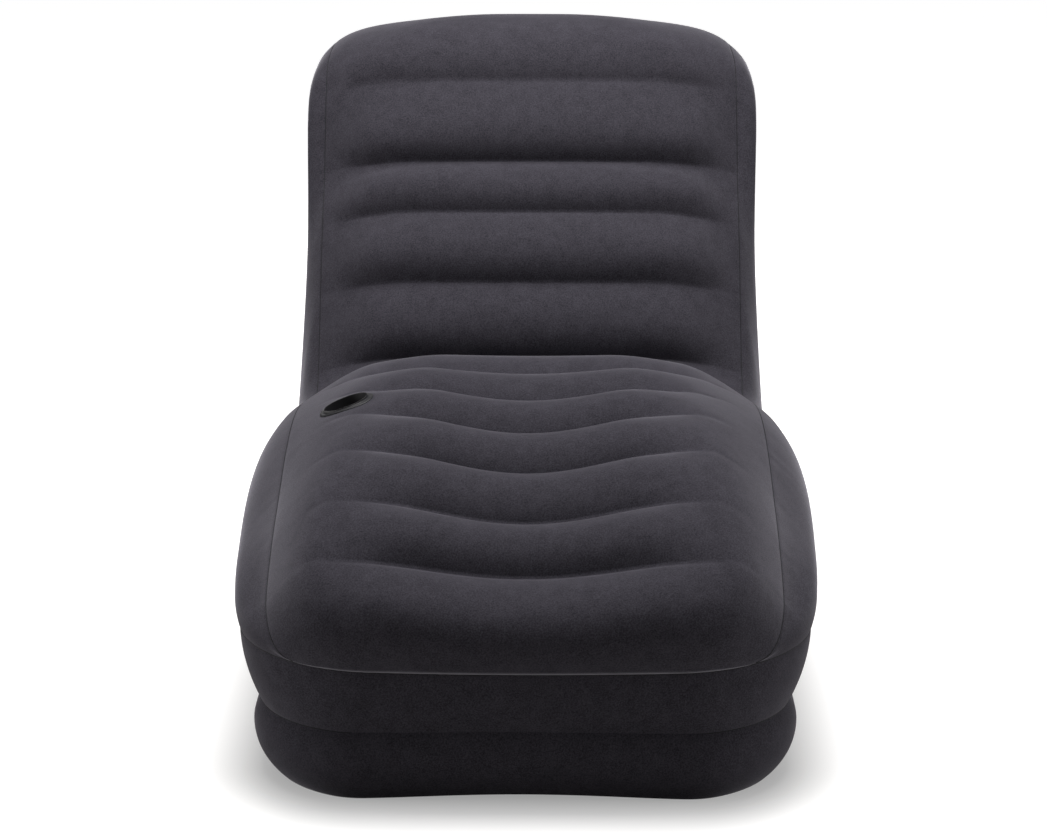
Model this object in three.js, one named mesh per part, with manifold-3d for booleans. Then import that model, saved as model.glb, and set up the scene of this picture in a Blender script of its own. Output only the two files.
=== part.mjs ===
// Inflatable lounge chair: a wave-shaped air bed for one person with legs, hip hollow and backrest.
// Millimetres, +Z up, +Y from the foot end to the back. The origin is the middle of the floor face.
// Every skin is a thin welded sheet, and inner webs hold the cells of the lounging panel down.
import * as THREE from 'three';
import { mergeVertices } from 'three/addons/utils/BufferGeometryUtils.js';
import Module from 'manifold-3d';

const wasm = await Module();
wasm.setup();

// Overall sizes
const length = 1700;
const width = 860;
const height = 940;

// Sheets and welds
const skin = 1;
const film = 0.6;
const weldGap = 0.3;
const seamSetback = 0.2;

// Levels of the two seams that run all round the body
const waistHeight = 107;
const shoulderHeight = 205;

// How far each level stands in from the overall width and length
const shoulderInset = 11;
const waistInset = 43;
const footInset = 56;
const shoulderFrontInset = 11;
const shoulderRearInset = 10;
const waistEndInset = 29;
const footEndInset = 44;
const baseBulge = 16;
const middleBulge = 8;

// Plan outline of the body: the corners are rounder at the shoulder seam than below it
const shoulderCorner = 204;
const waistCorner = 150;
const footCorner = 130;
const frontBow = 30;
const rearBow = 20;

// The lounging panel
const panelInset = 60;
const ridgeHeight = 90;
const troughDepth = 46;
const cellBulge = 26;
const sideBulge = 23;

// Cup holder
const cupBore = 70;
const cupWall = 1.2;
const cupDepth = 82;
const cupFlange = 8;
const flangeThick = 1.5;
const cupLip = 2.4;

// Air valve, with its large deflating plug, small inflating cap and check flap
const valveBore = 36.6;
const valveWall = 2.2;
const valveInside = 15;
const valveCollar = 3;
const valveFlange = 9.5;
const plugDepth = 7;
const plugHead = 46;
const plugHeadThick = 2;
const plugHingeReach = 26;
const nozzleBore = 13.6;
const nozzleMouth = 17.2;
const capDepth = 5.7;
const capHead = 21;
const capThick = 1.4;
const capHingeReach = 13;
const strapWidth = 8;
const lugLength = 3.6;
const flapDiameter = 17;
const flapThick = 0.8;
const flapHingeReach = 9.6;

// Inner webs
const airHole = 50;
const deckHole = 60;
const webEndClear = 62;
const overrun = 20;

// Derived sizes
const halfLength = length / 2;
const halfWidth = width / 2;
const halfPanel = halfWidth - panelInset;

// Outline levels, from the floor up: half width and reach to the front and the rear
const foot = {
  half: halfWidth - footInset,
  corner: footCorner,
  front: halfLength - footEndInset,
  rear: halfLength - footEndInset,
};
const waist = {
  half: halfWidth - waistInset,
  corner: waistCorner,
  front: halfLength - waistEndInset,
  rear: halfLength - waistEndInset,
};
const shoulder = {
  half: halfWidth - shoulderInset,
  corner: shoulderCorner,
  front: halfLength - shoulderFrontInset,
  rear: halfLength - shoulderRearInset,
};

// Steps of the sheets. A cell is the stretch of panel between two creases.
const cellSteps = [4, 4, 4, 4, 4, 4, 4, 3, 3, 3, 3, 4, 3, 4, 4];
const rearSteps = [3, 3, 3, 3, 3];
const acrossShares = [-1, -0.82, -0.64, -0.44, -0.22, 0, 0.22, 0.44, 0.64, 0.82, 1];
const topCells = cellSteps.length;
const lastStation = topCells + rearSteps.length;
const cornerSteps = 7;
const rearCornerSteps = 5;
const bandSteps = 4;
const roundSteps = 40;
const holeSteps = 12;

// The side seam of the panels, from the front tip over the top and down the rear edge.
// Each row: station, place along the half length, height share, share of the half panel width.
const seamShares = [
  [0, -0.944, 0.2181, 0.889],
  [0.25, -0.928, 0.2287, 0.945],
  [0.5, -0.902, 0.2457, 0.976],
  [0.75, -0.872, 0.267, 0.992],
  [1, -0.839, 0.2883, 1],
  [2, -0.727, 0.3436, 1],
  [3, -0.585, 0.384, 1],
  [4, -0.441, 0.4213, 1],
  [5, -0.3, 0.4383, 1],
  [6, -0.153, 0.4309, 1],
  [7, -0.012, 0.4043, 1],
  [8, 0.107, 0.3691, 1],
  [9, 0.207, 0.355, 1],
  [10, 0.283, 0.392, 1],
  [11, 0.372, 0.5225, 1],
  [12, 0.453, 0.6375, 1],
  [13, 0.535, 0.7275, 1],
  [14, 0.617, 0.873, 1],
  [14.25, 0.664, 0.921, 0.998],
  [14.5, 0.737, 0.943, 0.986],
  [14.75, 0.809, 0.942, 0.986],
  [15, 0.862, 0.923, 0.998],
  [16, 0.894, 0.8245, 1],
  [17, 0.915, 0.6915, 1],
  [18, 0.929, 0.5479, 1],
  [19, 0.938, 0.3936, 1],
  [20, 0.9415, 0.2181, 1],
];

// Cross shape of the panel at each station: ridge rise, trough depth and where the ridge runs
const riseShares = [
  [0, 0], [0.25, 0.42], [0.5, 0.7], [0.75, 0.89], [1, 1], [2, 0.96], [3, 0.93], [4, 0.74], [5, 0.56],
  [6, 0.54], [7, 0.6], [8, 0.46], [9, 0.45], [10, 0.6], [11, 0.76], [12, 0.7], [13, 0.62],
  [14, 0.52], [14.5, 0.37], [15, 0.42], [16, 0.44], [17, 0.44], [18, 0.44], [19, 0.44], [20, 0],
];
const troughShares = [
  [0, 0], [1, 0.87], [2, 1], [3, 0.98], [4, 0.85], [5, 0.55], [6, 0.22], [7, 0], [8, 0.15],
  [9, 0.25], [10, 0.1], [11, 0], [20, 0],
];
const ridgeShares = [
  [0, 0.8], [1, 0.77], [2, 0.73], [3, 0.71], [4, 0.69], [5, 0.67], [6, 0.62], [7, 0.58], [8, 0.6],
  [9, 0.62], [10, 0.58], [11, 0.55], [20, 0.55],
];

// How far the valley between two ridges gives way to one plain arch, over the top and down the rear
const archShares = [[0, 0], [13.9, 0], [14.5, 1], [20, 1]];
const archPower = 3;

// Puffing of each cell over its creases, and where that fades out towards the side seam
const bulgeShares = [
  1.3, 1, 1, 1, 1, 1, 1, 0.85, 0.85, 0.85, 1, 1, 0.92, 1.08, 0.6, 0.5, 0.5, 0.5, 0.5, 0.4,
];
const fadeStartShares = [
  0.45, 0.4, 0.4, 0.4, 0.35, 0.35, 0.35, 0.35, 0.4, 0.45, 0.55, 0.6, 0.6, 0.6, 0.1,
  0.3, 0.3, 0.3, 0.3, 0.3,
];
const fadeEndShares = [
  1, 0.9, 0.88, 0.86, 0.84, 0.84, 0.84, 0.84, 0.88, 0.92, 0.97, 0.97, 0.97, 0.97, 1, 1, 1, 1, 1, 1,
];

// Where each line of the side panels meets the shoulder seam, along the straight stretch
const footLineShares = [[1.75, 0], [7, 0.49], [10, 0.675], [14, 0.81], [15, 0.9], [18.34, 1]];
const sideBulgeShares = [
  [0, 0.3], [2, 1], [5, 1], [6, 0.8], [8, 0.1], [10, -0.6], [12, -0.7], [14, 0.7], [15, 0.7],
  [17, 0.3], [20, 0.1],
];
const sideBulgePowers = [[0, 1.4], [9, 1.4], [12, 2], [14, 8], [15, 8], [16, 4], [17, 1.4], [20, 1.4]];
const sideLeanShare = 0.37;
const sideTuckShare = 0.63;
const sideTuckPowers = [[0, 5], [8, 5], [11, 9], [14, 12], [15, 12], [17, 6], [20, 5]];
const sideLineShares = [0, 0.25, 0.52, 0.78, 0.93, 1];
const frontTipAngle = Math.PI / 6;
const tipCutShare = 0.3;

// Places of the cup holder, the valve and the inner parts
const cupStation = 4.5;
const cupAcrossShare = -0.757;
const valveStation = 19.5;
const valveAcrossShare = -0.6;
const baseWebShares = [-0.72, -0.36, 0, 0.36, 0.72];
const deckHoleShares = [-0.54, -0.18, 0.18, 0.54];
const airHoleShares = [-0.42, 0.42];

// Materials
const flock = () => new THREE.MeshStandardMaterial({ color: 0x2c2b31, roughness: 0.95, metalness: 0 });
const vinyl = () => new THREE.MeshStandardMaterial({ color: 0x232227, roughness: 0.55, metalness: 0 });
const filmVinyl = () => new THREE.MeshStandardMaterial({ color: 0x8b8d92, roughness: 0.5, metalness: 0 });
const moulded = () => new THREE.MeshStandardMaterial({ color: 0x1d1c20, roughness: 0.4, metalness: 0 });

const chair = new THREE.Group();

function addPiece(name, geometry, material) {
  const mesh = new THREE.Mesh(geometry, material);
  mesh.name = name;
  chair.add(mesh);
  return mesh;
}

// A smooth value through a table of [station, value, ...] rows
function through(table, station, column = 1) {
  const last = table.length - 1;
  let k = 0;
  while (k < last - 1 && table[k + 1][0] <= station) {
    k += 1;
  }
  const slope = (i) => {
    const a = table[Math.max(i - 1, 0)];
    const b = table[Math.min(i + 1, last)];
    return (b[column] - a[column]) / (b[0] - a[0]);
  };
  const span = table[k + 1][0] - table[k][0];
  const t = Math.min(Math.max((station - table[k][0]) / span, 0), 1);
  const rise = table[k + 1][column] - table[k][column];
  const curve = slope(k) * span * (t ** 3 - 2 * t ** 2 + t) + slope(k + 1) * span * (t ** 3 - t ** 2);
  return table[k][column] + rise * (3 * t ** 2 - 2 * t ** 3) + curve;
}

// Plan outline of a level: how far the front or rear edge reaches at a place across
function endReach(level, across, reach, bow) {
  const straight = level.half - level.corner;
  const past = Math.max(Math.abs(across) - straight, 0);
  const round = Math.sqrt(Math.max(level.corner ** 2 - past ** 2, 0));
  return reach - bow - level.corner + round + bow * (1 - (across / level.half) ** 2);
}

const frontReach = (level, across) => endReach(level, across, level.front, frontBow);
const rearReach = (level, across) => endReach(level, across, level.rear, rearBow);

// How far across the corner round a side panel starts at the front and ends at the rear
const tipAcross = (level, angle) => level.half - level.corner + level.corner * Math.sin(angle);
const rearTipAngle = Math.asin((halfPanel - shoulder.half + shoulder.corner) / shoulder.corner);
const frontTipHalf = tipAcross(shoulder, frontTipAngle);

// Points of one level of the outline. The right side runs from the front tip to the rear tip.
function outline(level, z) {
  const frontTip = tipAcross(level, frontTipAngle);
  const rearTip = tipAcross(level, rearTipAngle);
  const point = (x, y) => new THREE.Vector3(x, y, z);
  const front = acrossShares.map((share) => {
    const x = share * frontTip;
    return point(x, -frontReach(level, x));
  });
  const rear = acrossShares.map((share) => {
    const x = -share * rearTip;
    return point(x, rearReach(level, x));
  });
  const right = [];
  for (let k = 0; k <= cornerSteps; k += 1) {
    const angle = frontTipAngle + (Math.PI / 2 - frontTipAngle) * (k / cornerSteps);
    const x = tipAcross(level, angle);
    right.push(point(x, -frontReach(level, x)));
  }
  for (let k = 0; k <= rearCornerSteps; k += 1) {
    const angle = Math.PI / 2 + (rearTipAngle - Math.PI / 2) * (k / rearCornerSteps);
    const x = tipAcross(level, angle);
    right.push(point(x, rearReach(level, x)));
  }
  const left = right.map((p) => point(-p.x, p.y)).reverse();
  return { front, right, rear, left };
}

// One closed ring of an outline, without doubled points
function ring(level, z) {
  const { front, right, rear, left } = outline(level, z);
  return [...front, ...right.slice(1, -1), ...rear, ...left.slice(1, -1)];
}

// Unit normals at the points of a sheet, worked out from its own facets
function sheetNormals(points, closed) {
  const normals = points.map((row) => row.map(() => new THREE.Vector3()));
  const columns = points[0].length;
  const stop = closed ? columns : columns - 1;
  for (let r = 0; r < points.length - 1; r += 1) {
    for (let c = 0; c < stop; c += 1) {
      const d = (c + 1) % columns;
      const one = points[r + 1][d].clone().sub(points[r][c]);
      const two = points[r + 1][c].clone().sub(points[r][d]);
      const face = one.cross(two);
      [[r, c], [r, d], [r + 1, c], [r + 1, d]].forEach(([i, j]) => normals[i][j].add(face));
    }
  }
  return normals.map((row) => row.map((n) => n.normalize()));
}

// A sheet with its outward normals, given a point that lies inside the body
function makeSheet(points, closed, inside) {
  const normals = sheetNormals(points, closed);
  const r = Math.floor(points.length / 2);
  const c = Math.floor(points[0].length / 2);
  const outward = points[r][c].clone().sub(inside).dot(normals[r][c]);
  if (outward < 0) {
    normals.forEach((row) => row.forEach((n) => n.negate()));
  }
  return { points, normals, closed, offsets: normals.map((row) => row.map((n) => n.clone())) };
}

// The direction that keeps every wall thickness where sheets with these normals meet
function miter(normals) {
  const softness = 0.002;
  const m = [softness, 0, 0, 0, softness, 0, 0, 0, softness];
  const sum = new THREE.Vector3();
  normals.forEach((n) => {
    const parts = [n.x, n.y, n.z];
    parts.forEach((a, i) => parts.forEach((b, j) => {
      m[3 * i + j] += a * b;
    }));
    sum.add(n);
  });
  return sum.applyMatrix3(new THREE.Matrix3().set(...m).invert());
}

function joinMeeting(meeting) {
  const shared = miter(meeting.map(([sheet, r, c]) => sheet.normals[r][c]));
  meeting.forEach(([sheet, r, c]) => sheet.offsets[r][c].copy(shared));
}

// Moves the edges of a sheet back from the seams, so that welded sheets stay clear of each other
function setBack(sheet, edges) {
  const { points } = sheet;
  const lastRow = points.length - 1;
  const lastColumn = points[0].length - 1;
  const moves = points.map((row) => row.map(() => new THREE.Vector3()));
  const pull = (r, c, r2, c2) => {
    moves[r][c].add(points[r2][c2].clone().sub(points[r][c]).setLength(seamSetback));
  };
  points.forEach((row, r) => row.forEach((p, c) => {
    if (edges.includes('first') && r === 0) {
      pull(r, c, 1, c);
    }
    if (edges.includes('last') && r === lastRow) {
      pull(r, c, lastRow - 1, c);
    }
    if (edges.includes('sides') && c === 0) {
      pull(r, c, r, 1);
    }
    if (edges.includes('sides') && c === lastColumn) {
      pull(r, c, r, lastColumn - 1);
    }
  }));
  points.forEach((row, r) => row.forEach((p, c) => p.add(moves[r][c])));
}

function closedGeometry(vertices, triangles) {
  const cross = new THREE.Vector3();
  let volume = 0;
  triangles.forEach(([a, b, c]) => {
    volume += cross.copy(vertices[b]).cross(vertices[c]).dot(vertices[a]);
  });
  const turned = volume < 0 ? triangles.map(([a, b, c]) => [a, c, b]) : triangles;
  const geometry = new THREE.BufferGeometry();
  const places = vertices.flatMap((v) => [v.x, v.y, v.z]);
  geometry.setAttribute('position', new THREE.Float32BufferAttribute(places, 3));
  geometry.setIndex(turned.flat());
  return geometry;
}

// A closed slab between two offsets of a sheet, measured outward from its points
function slab(sheet, outer, inner) {
  const { points, offsets, closed } = sheet;
  const rows = points.length;
  const columns = points[0].length;
  const layer = (offset) => points.flatMap((row, r) => row.map((p, c) => (
    p.clone().addScaledVector(offsets[r][c], offset)
  )));
  const vertices = [...layer(outer), ...layer(inner)];
  const count = rows * columns;
  const triangles = [];
  const quad = (a, b, c, d) => triangles.push([a, b, c], [a, c, d]);
  const index = (r, c) => r * columns + (c % columns);
  const stop = closed ? columns : columns - 1;
  // A sheet that spans the middle plane has its facets split alike on both sides of it
  const spansMiddle = closed || points[0][0].x * points[0][columns - 1].x < 0;
  for (let r = 0; r < rows - 1; r += 1) {
    for (let c = 0; c < stop; c += 1) {
      const corners = [index(r, c), index(r, c + 1), index(r + 1, c + 1), index(r + 1, c)];
      if (spansMiddle && points[r][c].x + points[r][(c + 1) % columns].x < 0) {
        corners.push(corners.shift());
      }
      const [a, b, d, e] = corners;
      quad(a, b, d, e);
      quad(count + a, count + e, count + d, count + b);
    }
  }
  for (let c = 0; c < stop; c += 1) {
    quad(index(0, c + 1), index(0, c), count + index(0, c), count + index(0, c + 1));
    const last = rows - 1;
    quad(index(last, c), index(last, c + 1), count + index(last, c + 1), count + index(last, c));
  }
  if (!closed) {
    const end = columns - 1;
    for (let r = 0; r < rows - 1; r += 1) {
      quad(index(r, 0), index(r + 1, 0), count + index(r + 1, 0), count + index(r, 0));
      quad(index(r + 1, end), index(r, end), count + index(r, end), count + index(r + 1, end));
    }
  }
  return closedGeometry(vertices, triangles);
}

// Solids for cutting and joining
function solid(geometry) {
  const bare = new THREE.BufferGeometry();
  bare.setAttribute('position', geometry.getAttribute('position').clone());
  if (geometry.index) {
    bare.setIndex(geometry.index.clone());
  }
  const merged = mergeVertices(bare);
  return new wasm.Manifold(new wasm.Mesh({
    numProp: 3,
    vertProperties: new Float32Array(merged.getAttribute('position').array),
    triVerts: new Uint32Array(merged.index.array),
  }));
}

function fromSolid(body) {
  const mesh = body.getMesh();
  const geometry = new THREE.BufferGeometry();
  geometry.setAttribute('position', new THREE.BufferAttribute(mesh.vertProperties, 3));
  geometry.setIndex(new THREE.BufferAttribute(mesh.triVerts, 1));
  return geometry;
}

// The same body with its doubled points joined, its slivers dropped and its faces turned outward
function cleaned(geometry) {
  const bare = new THREE.BufferGeometry();
  bare.setAttribute('position', geometry.getAttribute('position').clone());
  bare.setIndex(geometry.index.clone());
  const merged = mergeVertices(bare);
  const place = merged.getAttribute('position');
  const vertices = [];
  for (let i = 0; i < place.count; i += 1) {
    vertices.push(new THREE.Vector3().fromBufferAttribute(place, i));
  }
  const list = Array.from(merged.index.array);
  const triangles = [];
  for (let i = 0; i < list.length; i += 3) {
    const [a, b, c] = list.slice(i, i + 3);
    if (a !== b && b !== c && a !== c) {
      triangles.push([a, b, c]);
    }
  }
  return closedGeometry(vertices, triangles);
}

// A turned body about +Z from [radius, height] points that close on themselves
function turned(profile, steps = roundSteps) {
  const points = [...profile, profile[0]].map(([r, z]) => new THREE.Vector2(r, z));
  const geometry = new THREE.LatheGeometry(points, steps);
  geometry.rotateX(Math.PI / 2);
  return cleaned(geometry);
}

function rod(radius, low, high, steps = roundSteps) {
  const geometry = new THREE.CylinderGeometry(radius, radius, high - low, steps);
  geometry.rotateX(Math.PI / 2);
  geometry.translate(0, 0, (low + high) / 2);
  return geometry;
}

function block(xLow, xHigh, breadth, zLow, zHigh) {
  const geometry = new THREE.BoxGeometry(xHigh - xLow, breadth, zHigh - zLow);
  geometry.translate((xLow + xHigh) / 2, 0, (zLow + zHigh) / 2);
  return geometry;
}

// Shape of the panels. A station counts creases from the front seam over the top to the rear seam.
function seamPoint(station) {
  const x = through(seamShares, station, 3) * halfPanel;
  const y = through(seamShares, station, 1) * halfLength;
  const z = through(seamShares, station, 2) * height;
  const nearFront = Math.max(1 - station, 0);
  const nearRear = Math.max(station - (lastStation - 1), 0);
  const tableFront = seamShares[0];
  const tableRear = seamShares[seamShares.length - 1];
  const widthShift = frontTipHalf - tableFront[3] * halfPanel;
  const frontShift = -frontReach(shoulder, frontTipHalf) - tableFront[1] * halfLength;
  const rearShift = rearReach(shoulder, halfPanel) - tableRear[1] * halfLength;
  const lowFront = shoulderHeight - tableFront[2] * height;
  const lowRear = shoulderHeight - tableRear[2] * height;
  return new THREE.Vector3(
    x + widthShift * nearFront,
    y + frontShift * nearFront + rearShift * nearRear,
    z + lowFront * nearFront + lowRear * nearRear,
  );
}

// Direction that the cells puff in, square to the side seam
function seamNormal(station) {
  const step = 0.12;
  const before = seamPoint(Math.max(station - step, 0));
  const after = seamPoint(Math.min(station + step, lastStation));
  const along = after.sub(before);
  return new THREE.Vector3(0, -along.z, along.y).normalize();
}

function panelPoint(station, share) {
  const seam = seamPoint(station);
  const x = share * seam.x;
  const across = Math.abs(share);
  const rise = ridgeHeight * through(riseShares, station);
  const trough = troughDepth * through(troughShares, station);
  const ridge = through(ridgeShares, station);
  let lift = rise - trough * (1 + Math.cos(Math.PI * across / ridge)) / 2;
  if (across > ridge) {
    lift = rise * Math.sin((Math.PI / 2) * (1 - across) / (1 - ridge));
  }
  const arch = Math.min(Math.max(through(archShares, station), 0), 1);
  lift += (rise * (1 - across ** archPower) - lift) * arch;
  const cell = Math.min(Math.floor(station), lastStation - 1);
  const part = station - cell;
  const fadeStart = fadeStartShares[cell];
  const fadeEnd = fadeEndShares[cell];
  const fade = Math.min(Math.max((fadeEnd - across) / (fadeEnd - fadeStart), 0), 1);
  const smooth = fade * fade * (3 - 2 * fade);
  lift += cellBulge * bulgeShares[cell] * 4 * part * (1 - part) * smooth;
  const nearFront = Math.max(1 - station, 0);
  const nearRear = Math.max(station - (lastStation - 1), 0);
  const frontCurve = frontReach(shoulder, frontTipHalf) - frontReach(shoulder, share * frontTipHalf);
  const rearCurve = rearReach(shoulder, share * halfPanel) - rearReach(shoulder, halfPanel);
  const normal = seamNormal(station);
  return new THREE.Vector3(
    x,
    seam.y + normal.y * lift + frontCurve * nearFront + rearCurve * nearRear,
    seam.z + normal.z * lift,
  );
}

function stationsOf(steps, start) {
  const list = [start];
  steps.forEach((count, cell) => {
    for (let k = 1; k <= count; k += 1) {
      list.push(start + cell + k / count);
    }
  });
  return list;
}

const topStations = stationsOf(cellSteps, 0);
const rearStations = stationsOf(rearSteps, topCells);
const middle = new THREE.Vector3(0, 0, waistHeight + film);

const topSheet = makeSheet(
  topStations.map((s) => acrossShares.map((share) => panelPoint(s, share))), false, middle,
);
const rearSheet = makeSheet(
  rearStations.map((s) => acrossShares.map((share) => panelPoint(s, share))), false, middle,
);

// Side panel: lines from the shoulder seam to the side seam of the panels
const shoulderOutline = outline(shoulder, shoulderHeight);
const sideStations = [...topStations, ...rearStations.slice(1)];
const straightStart = cornerSteps;
const straightEnd = sideStations.length - 1 - rearCornerSteps;

function shoulderPoint(row) {
  const { right } = shoulderOutline;
  if (row <= straightStart) {
    return right[row].clone();
  }
  if (row >= straightEnd) {
    return right[row - straightEnd + straightStart + 1].clone();
  }
  const share = through(footLineShares, sideStations[row]);
  return right[straightStart].clone().lerp(right[straightStart + 1], Math.min(Math.max(share, 0), 1));
}

function sidePoints() {
  const low = sideStations.map((s, row) => shoulderPoint(row));
  const high = sideStations.map((s) => seamPoint(s));
  const last = sideStations.length - 1;
  low[0].lerp(low[1], tipCutShare);
  high[0].lerp(high[1], tipCutShare);
  low[last].lerp(low[last - 1], tipCutShare);
  high[last].lerp(high[last - 1], tipCutShare);
  return sideStations.map((s, row) => {
    const line = [];
    sideLineShares.forEach((t) => {
      const p = low[row].clone().lerp(high[row], t);
      const lean = sideLeanShare * t + sideTuckShare * t ** through(sideTuckPowers, s);
      const crown = Math.sin(Math.PI * t ** through(sideBulgePowers, s));
      const puff = sideBulge * through(sideBulgeShares, s) * crown;
      p.x = low[row].x + (high[row].x - low[row].x) * lean + puff;
      line.push(p);
    });
    return line;
  });
}

const rightPoints = sidePoints();
const leftPoints = rightPoints.map((row) => row.map((p) => new THREE.Vector3(-p.x, p.y, p.z)));
const rightSheet = makeSheet(rightPoints, false, middle);
const leftSheet = makeSheet(leftPoints, false, middle);

// Bands round the base, between the levels of the outline
function bandPoints(lower, upper, zLow, zHigh, bulge) {
  const rows = [];
  for (let k = 0; k <= bandSteps; k += 1) {
    const t = k / bandSteps;
    const out = bulge * 4 * t * (1 - t);
    const level = {
      half: lower.half + (upper.half - lower.half) * t + out,
      corner: lower.corner + (upper.corner - lower.corner) * t + out,
      front: lower.front + (upper.front - lower.front) * t + out,
      rear: lower.rear + (upper.rear - lower.rear) * t + out,
    };
    rows.push(ring(level, zLow + (zHigh - zLow) * t));
  }
  return rows;
}

const bandFoot = skin + weldGap;
const baseSheet = makeSheet(bandPoints(foot, waist, bandFoot, waistHeight, baseBulge), true, middle);
const middleSheet = makeSheet(
  bandPoints(waist, shoulder, waistHeight, shoulderHeight, middleBulge), true, middle,
);

// Welded seams: the sheets that meet share one mitred edge
const acrossLast = acrossShares.length - 1;
const topLast = topStations.length - 1;
const rearLast = rearStations.length - 1;
const sideLast = sideStations.length - 1;
const sideSteps = sideLineShares.length - 1;
const ringCount = middleSheet.points[0].length;
const rightCount = shoulderOutline.right.length;

// Waist seam and floor seam
middleSheet.points[0].forEach((p, c) => joinMeeting([[baseSheet, bandSteps, c], [middleSheet, 0, c]]));
baseSheet.offsets[0].forEach((offset) => {
  offset.z = 0;
  offset.normalize();
});

// Side seams of the lounging panel and of the rear panel
for (let r = 1; r < topLast; r += 1) {
  joinMeeting([[topSheet, r, acrossLast], [rightSheet, r, sideSteps]]);
  joinMeeting([[topSheet, r, 0], [leftSheet, r, sideSteps]]);
}
for (let r = 1; r < rearLast; r += 1) {
  joinMeeting([[rearSheet, r, acrossLast], [rightSheet, topLast + r, sideSteps]]);
  joinMeeting([[rearSheet, r, 0], [leftSheet, topLast + r, sideSteps]]);
}

// Seam across the top of the back
for (let c = 1; c < acrossLast; c += 1) {
  joinMeeting([[topSheet, topLast, c], [rearSheet, 0, c]]);
}
joinMeeting([[topSheet, topLast, acrossLast], [rearSheet, 0, acrossLast], [rightSheet, topLast, sideSteps]]);
joinMeeting([[topSheet, topLast, 0], [rearSheet, 0, 0], [leftSheet, topLast, sideSteps]]);

// Shoulder seam: front edge, both sides and rear edge over the middle band
for (let c = 1; c < acrossLast; c += 1) {
  joinMeeting([[topSheet, 0, c], [middleSheet, bandSteps, c]]);
  const rearColumn = acrossLast + rightCount - 1 + c;
  joinMeeting([[rearSheet, rearLast, acrossLast - c], [middleSheet, bandSteps, rearColumn]]);
}
function sideRowOf(k) {
  return k <= straightStart ? k : straightEnd + k - straightStart - 1;
}
for (let k = 1; k < rightCount - 1; k += 1) {
  joinMeeting([[rightSheet, sideRowOf(k), 0], [middleSheet, bandSteps, acrossLast + k]]);
  joinMeeting([[leftSheet, sideRowOf(k), 0], [middleSheet, bandSteps, ringCount - k]]);
}
for (let r = straightStart + 1; r < straightEnd; r += 1) {
  [[rightSheet, acrossLast + straightStart], [leftSheet, ringCount - straightStart]].forEach(([sheet, c]) => {
    const shared = miter([sheet.normals[r][0], middleSheet.normals[bandSteps][c]]);
    sheet.offsets[r][0].copy(shared);
  });
}

// The four tips, where a side panel runs out between its neighbours
joinMeeting([[topSheet, 0, acrossLast], [middleSheet, bandSteps, acrossLast]]);
joinMeeting([[topSheet, 0, 0], [middleSheet, bandSteps, 0]]);
joinMeeting([[rearSheet, rearLast, acrossLast], [middleSheet, bandSteps, acrossLast + rightCount - 1]]);
joinMeeting([[rearSheet, rearLast, 0], [middleSheet, bandSteps, ringCount - rightCount + 1]]);
[[rightSheet, acrossLast, acrossLast], [leftSheet, 0, 0]].forEach(([sheet, topColumn, ringColumn]) => {
  const rearColumn = topColumn ? acrossLast + rightCount - 1 : ringCount - rightCount + 1;
  sheet.offsets[0][sideSteps].copy(topSheet.offsets[0][topColumn]);
  sheet.offsets[0][0].copy(middleSheet.offsets[bandSteps][ringColumn]);
  sheet.offsets[sideLast][sideSteps].copy(rearSheet.offsets[rearLast][topColumn]);
  sheet.offsets[sideLast][0].copy(middleSheet.offsets[bandSteps][rearColumn]);
});

// Seats of the inner webs, kept clear of the inner faces
function inner(sheet, r, c, depth) {
  return sheet.points[r][c].clone().addScaledVector(sheet.offsets[r][c], -depth);
}
const seat = skin + weldGap;
const creaseRow = (station) => topStations.indexOf(station);
const rearRow = (station) => rearStations.indexOf(station);
const deckTop = waistHeight + film / 2;
const deckOutline = middleSheet.points[0].map((p, c) => {
  const level = middleSheet.normals[0][c].clone().setZ(0).normalize();
  return inner(middleSheet, 0, c, skin).addScaledVector(level, -weldGap);
});

function sheetWeb(topLine, bottomLine, holes) {
  const sheet = makeSheet([topLine, bottomLine], false, new THREE.Vector3(0, 0, 0));
  const plain = solid(slab(sheet, film / 2, -film / 2));
  const normal = sheet.normals[0][Math.floor(topLine.length / 2)];
  const centre = topLine[Math.floor(topLine.length / 2)].clone();
  centre.add(bottomLine[Math.floor(topLine.length / 2)]).multiplyScalar(1 / 2);
  const turn = new THREE.Quaternion().setFromUnitVectors(new THREE.Vector3(0, 0, 1), normal);
  return fromSolid(holes.reduce((body, share) => {
    const cutter = rod(airHole / 2, -overrun * 2, overrun * 2, holeSteps);
    cutter.applyQuaternion(turn);
    cutter.translate(centre.x + share * halfPanel, centre.y, centre.z);
    return body.subtract(solid(cutter));
  }, plain));
}

const webColumns = acrossShares.map((share, c) => c).slice(1, -1);
const legCreases = 7;
const hipCreases = 10;

// Webs that stand on the waist deck, under the creases of the leg rest and of the hip hollow
for (let station = 1; station <= hipCreases; station += 1) {
  const top = webColumns.map((c) => inner(topSheet, creaseRow(station), c, seat));
  const bottom = top.map((p) => new THREE.Vector3(p.x, top[Math.floor(top.length / 2)].y, deckTop + weldGap));
  const name = station <= legCreases ? `leg_web_${station}` : `hip_web_${station - legCreases}`;
  addPiece(name, sheetWeb(top, bottom, airHoleShares), filmVinyl());
}

// Webs of the backrest, from a crease of the lounging panel to the rear panel
for (let station = hipCreases + 1; station < topCells; station += 1) {
  const rearStation = lastStation - (station - hipCreases);
  const top = webColumns.map((c) => inner(topSheet, creaseRow(station), c, seat));
  const bottom = webColumns.map((c) => inner(rearSheet, rearRow(rearStation), c, seat));
  addPiece(`back_web_${station - hipCreases}`, sheetWeb(top, bottom, airHoleShares), filmVinyl());
}

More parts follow.
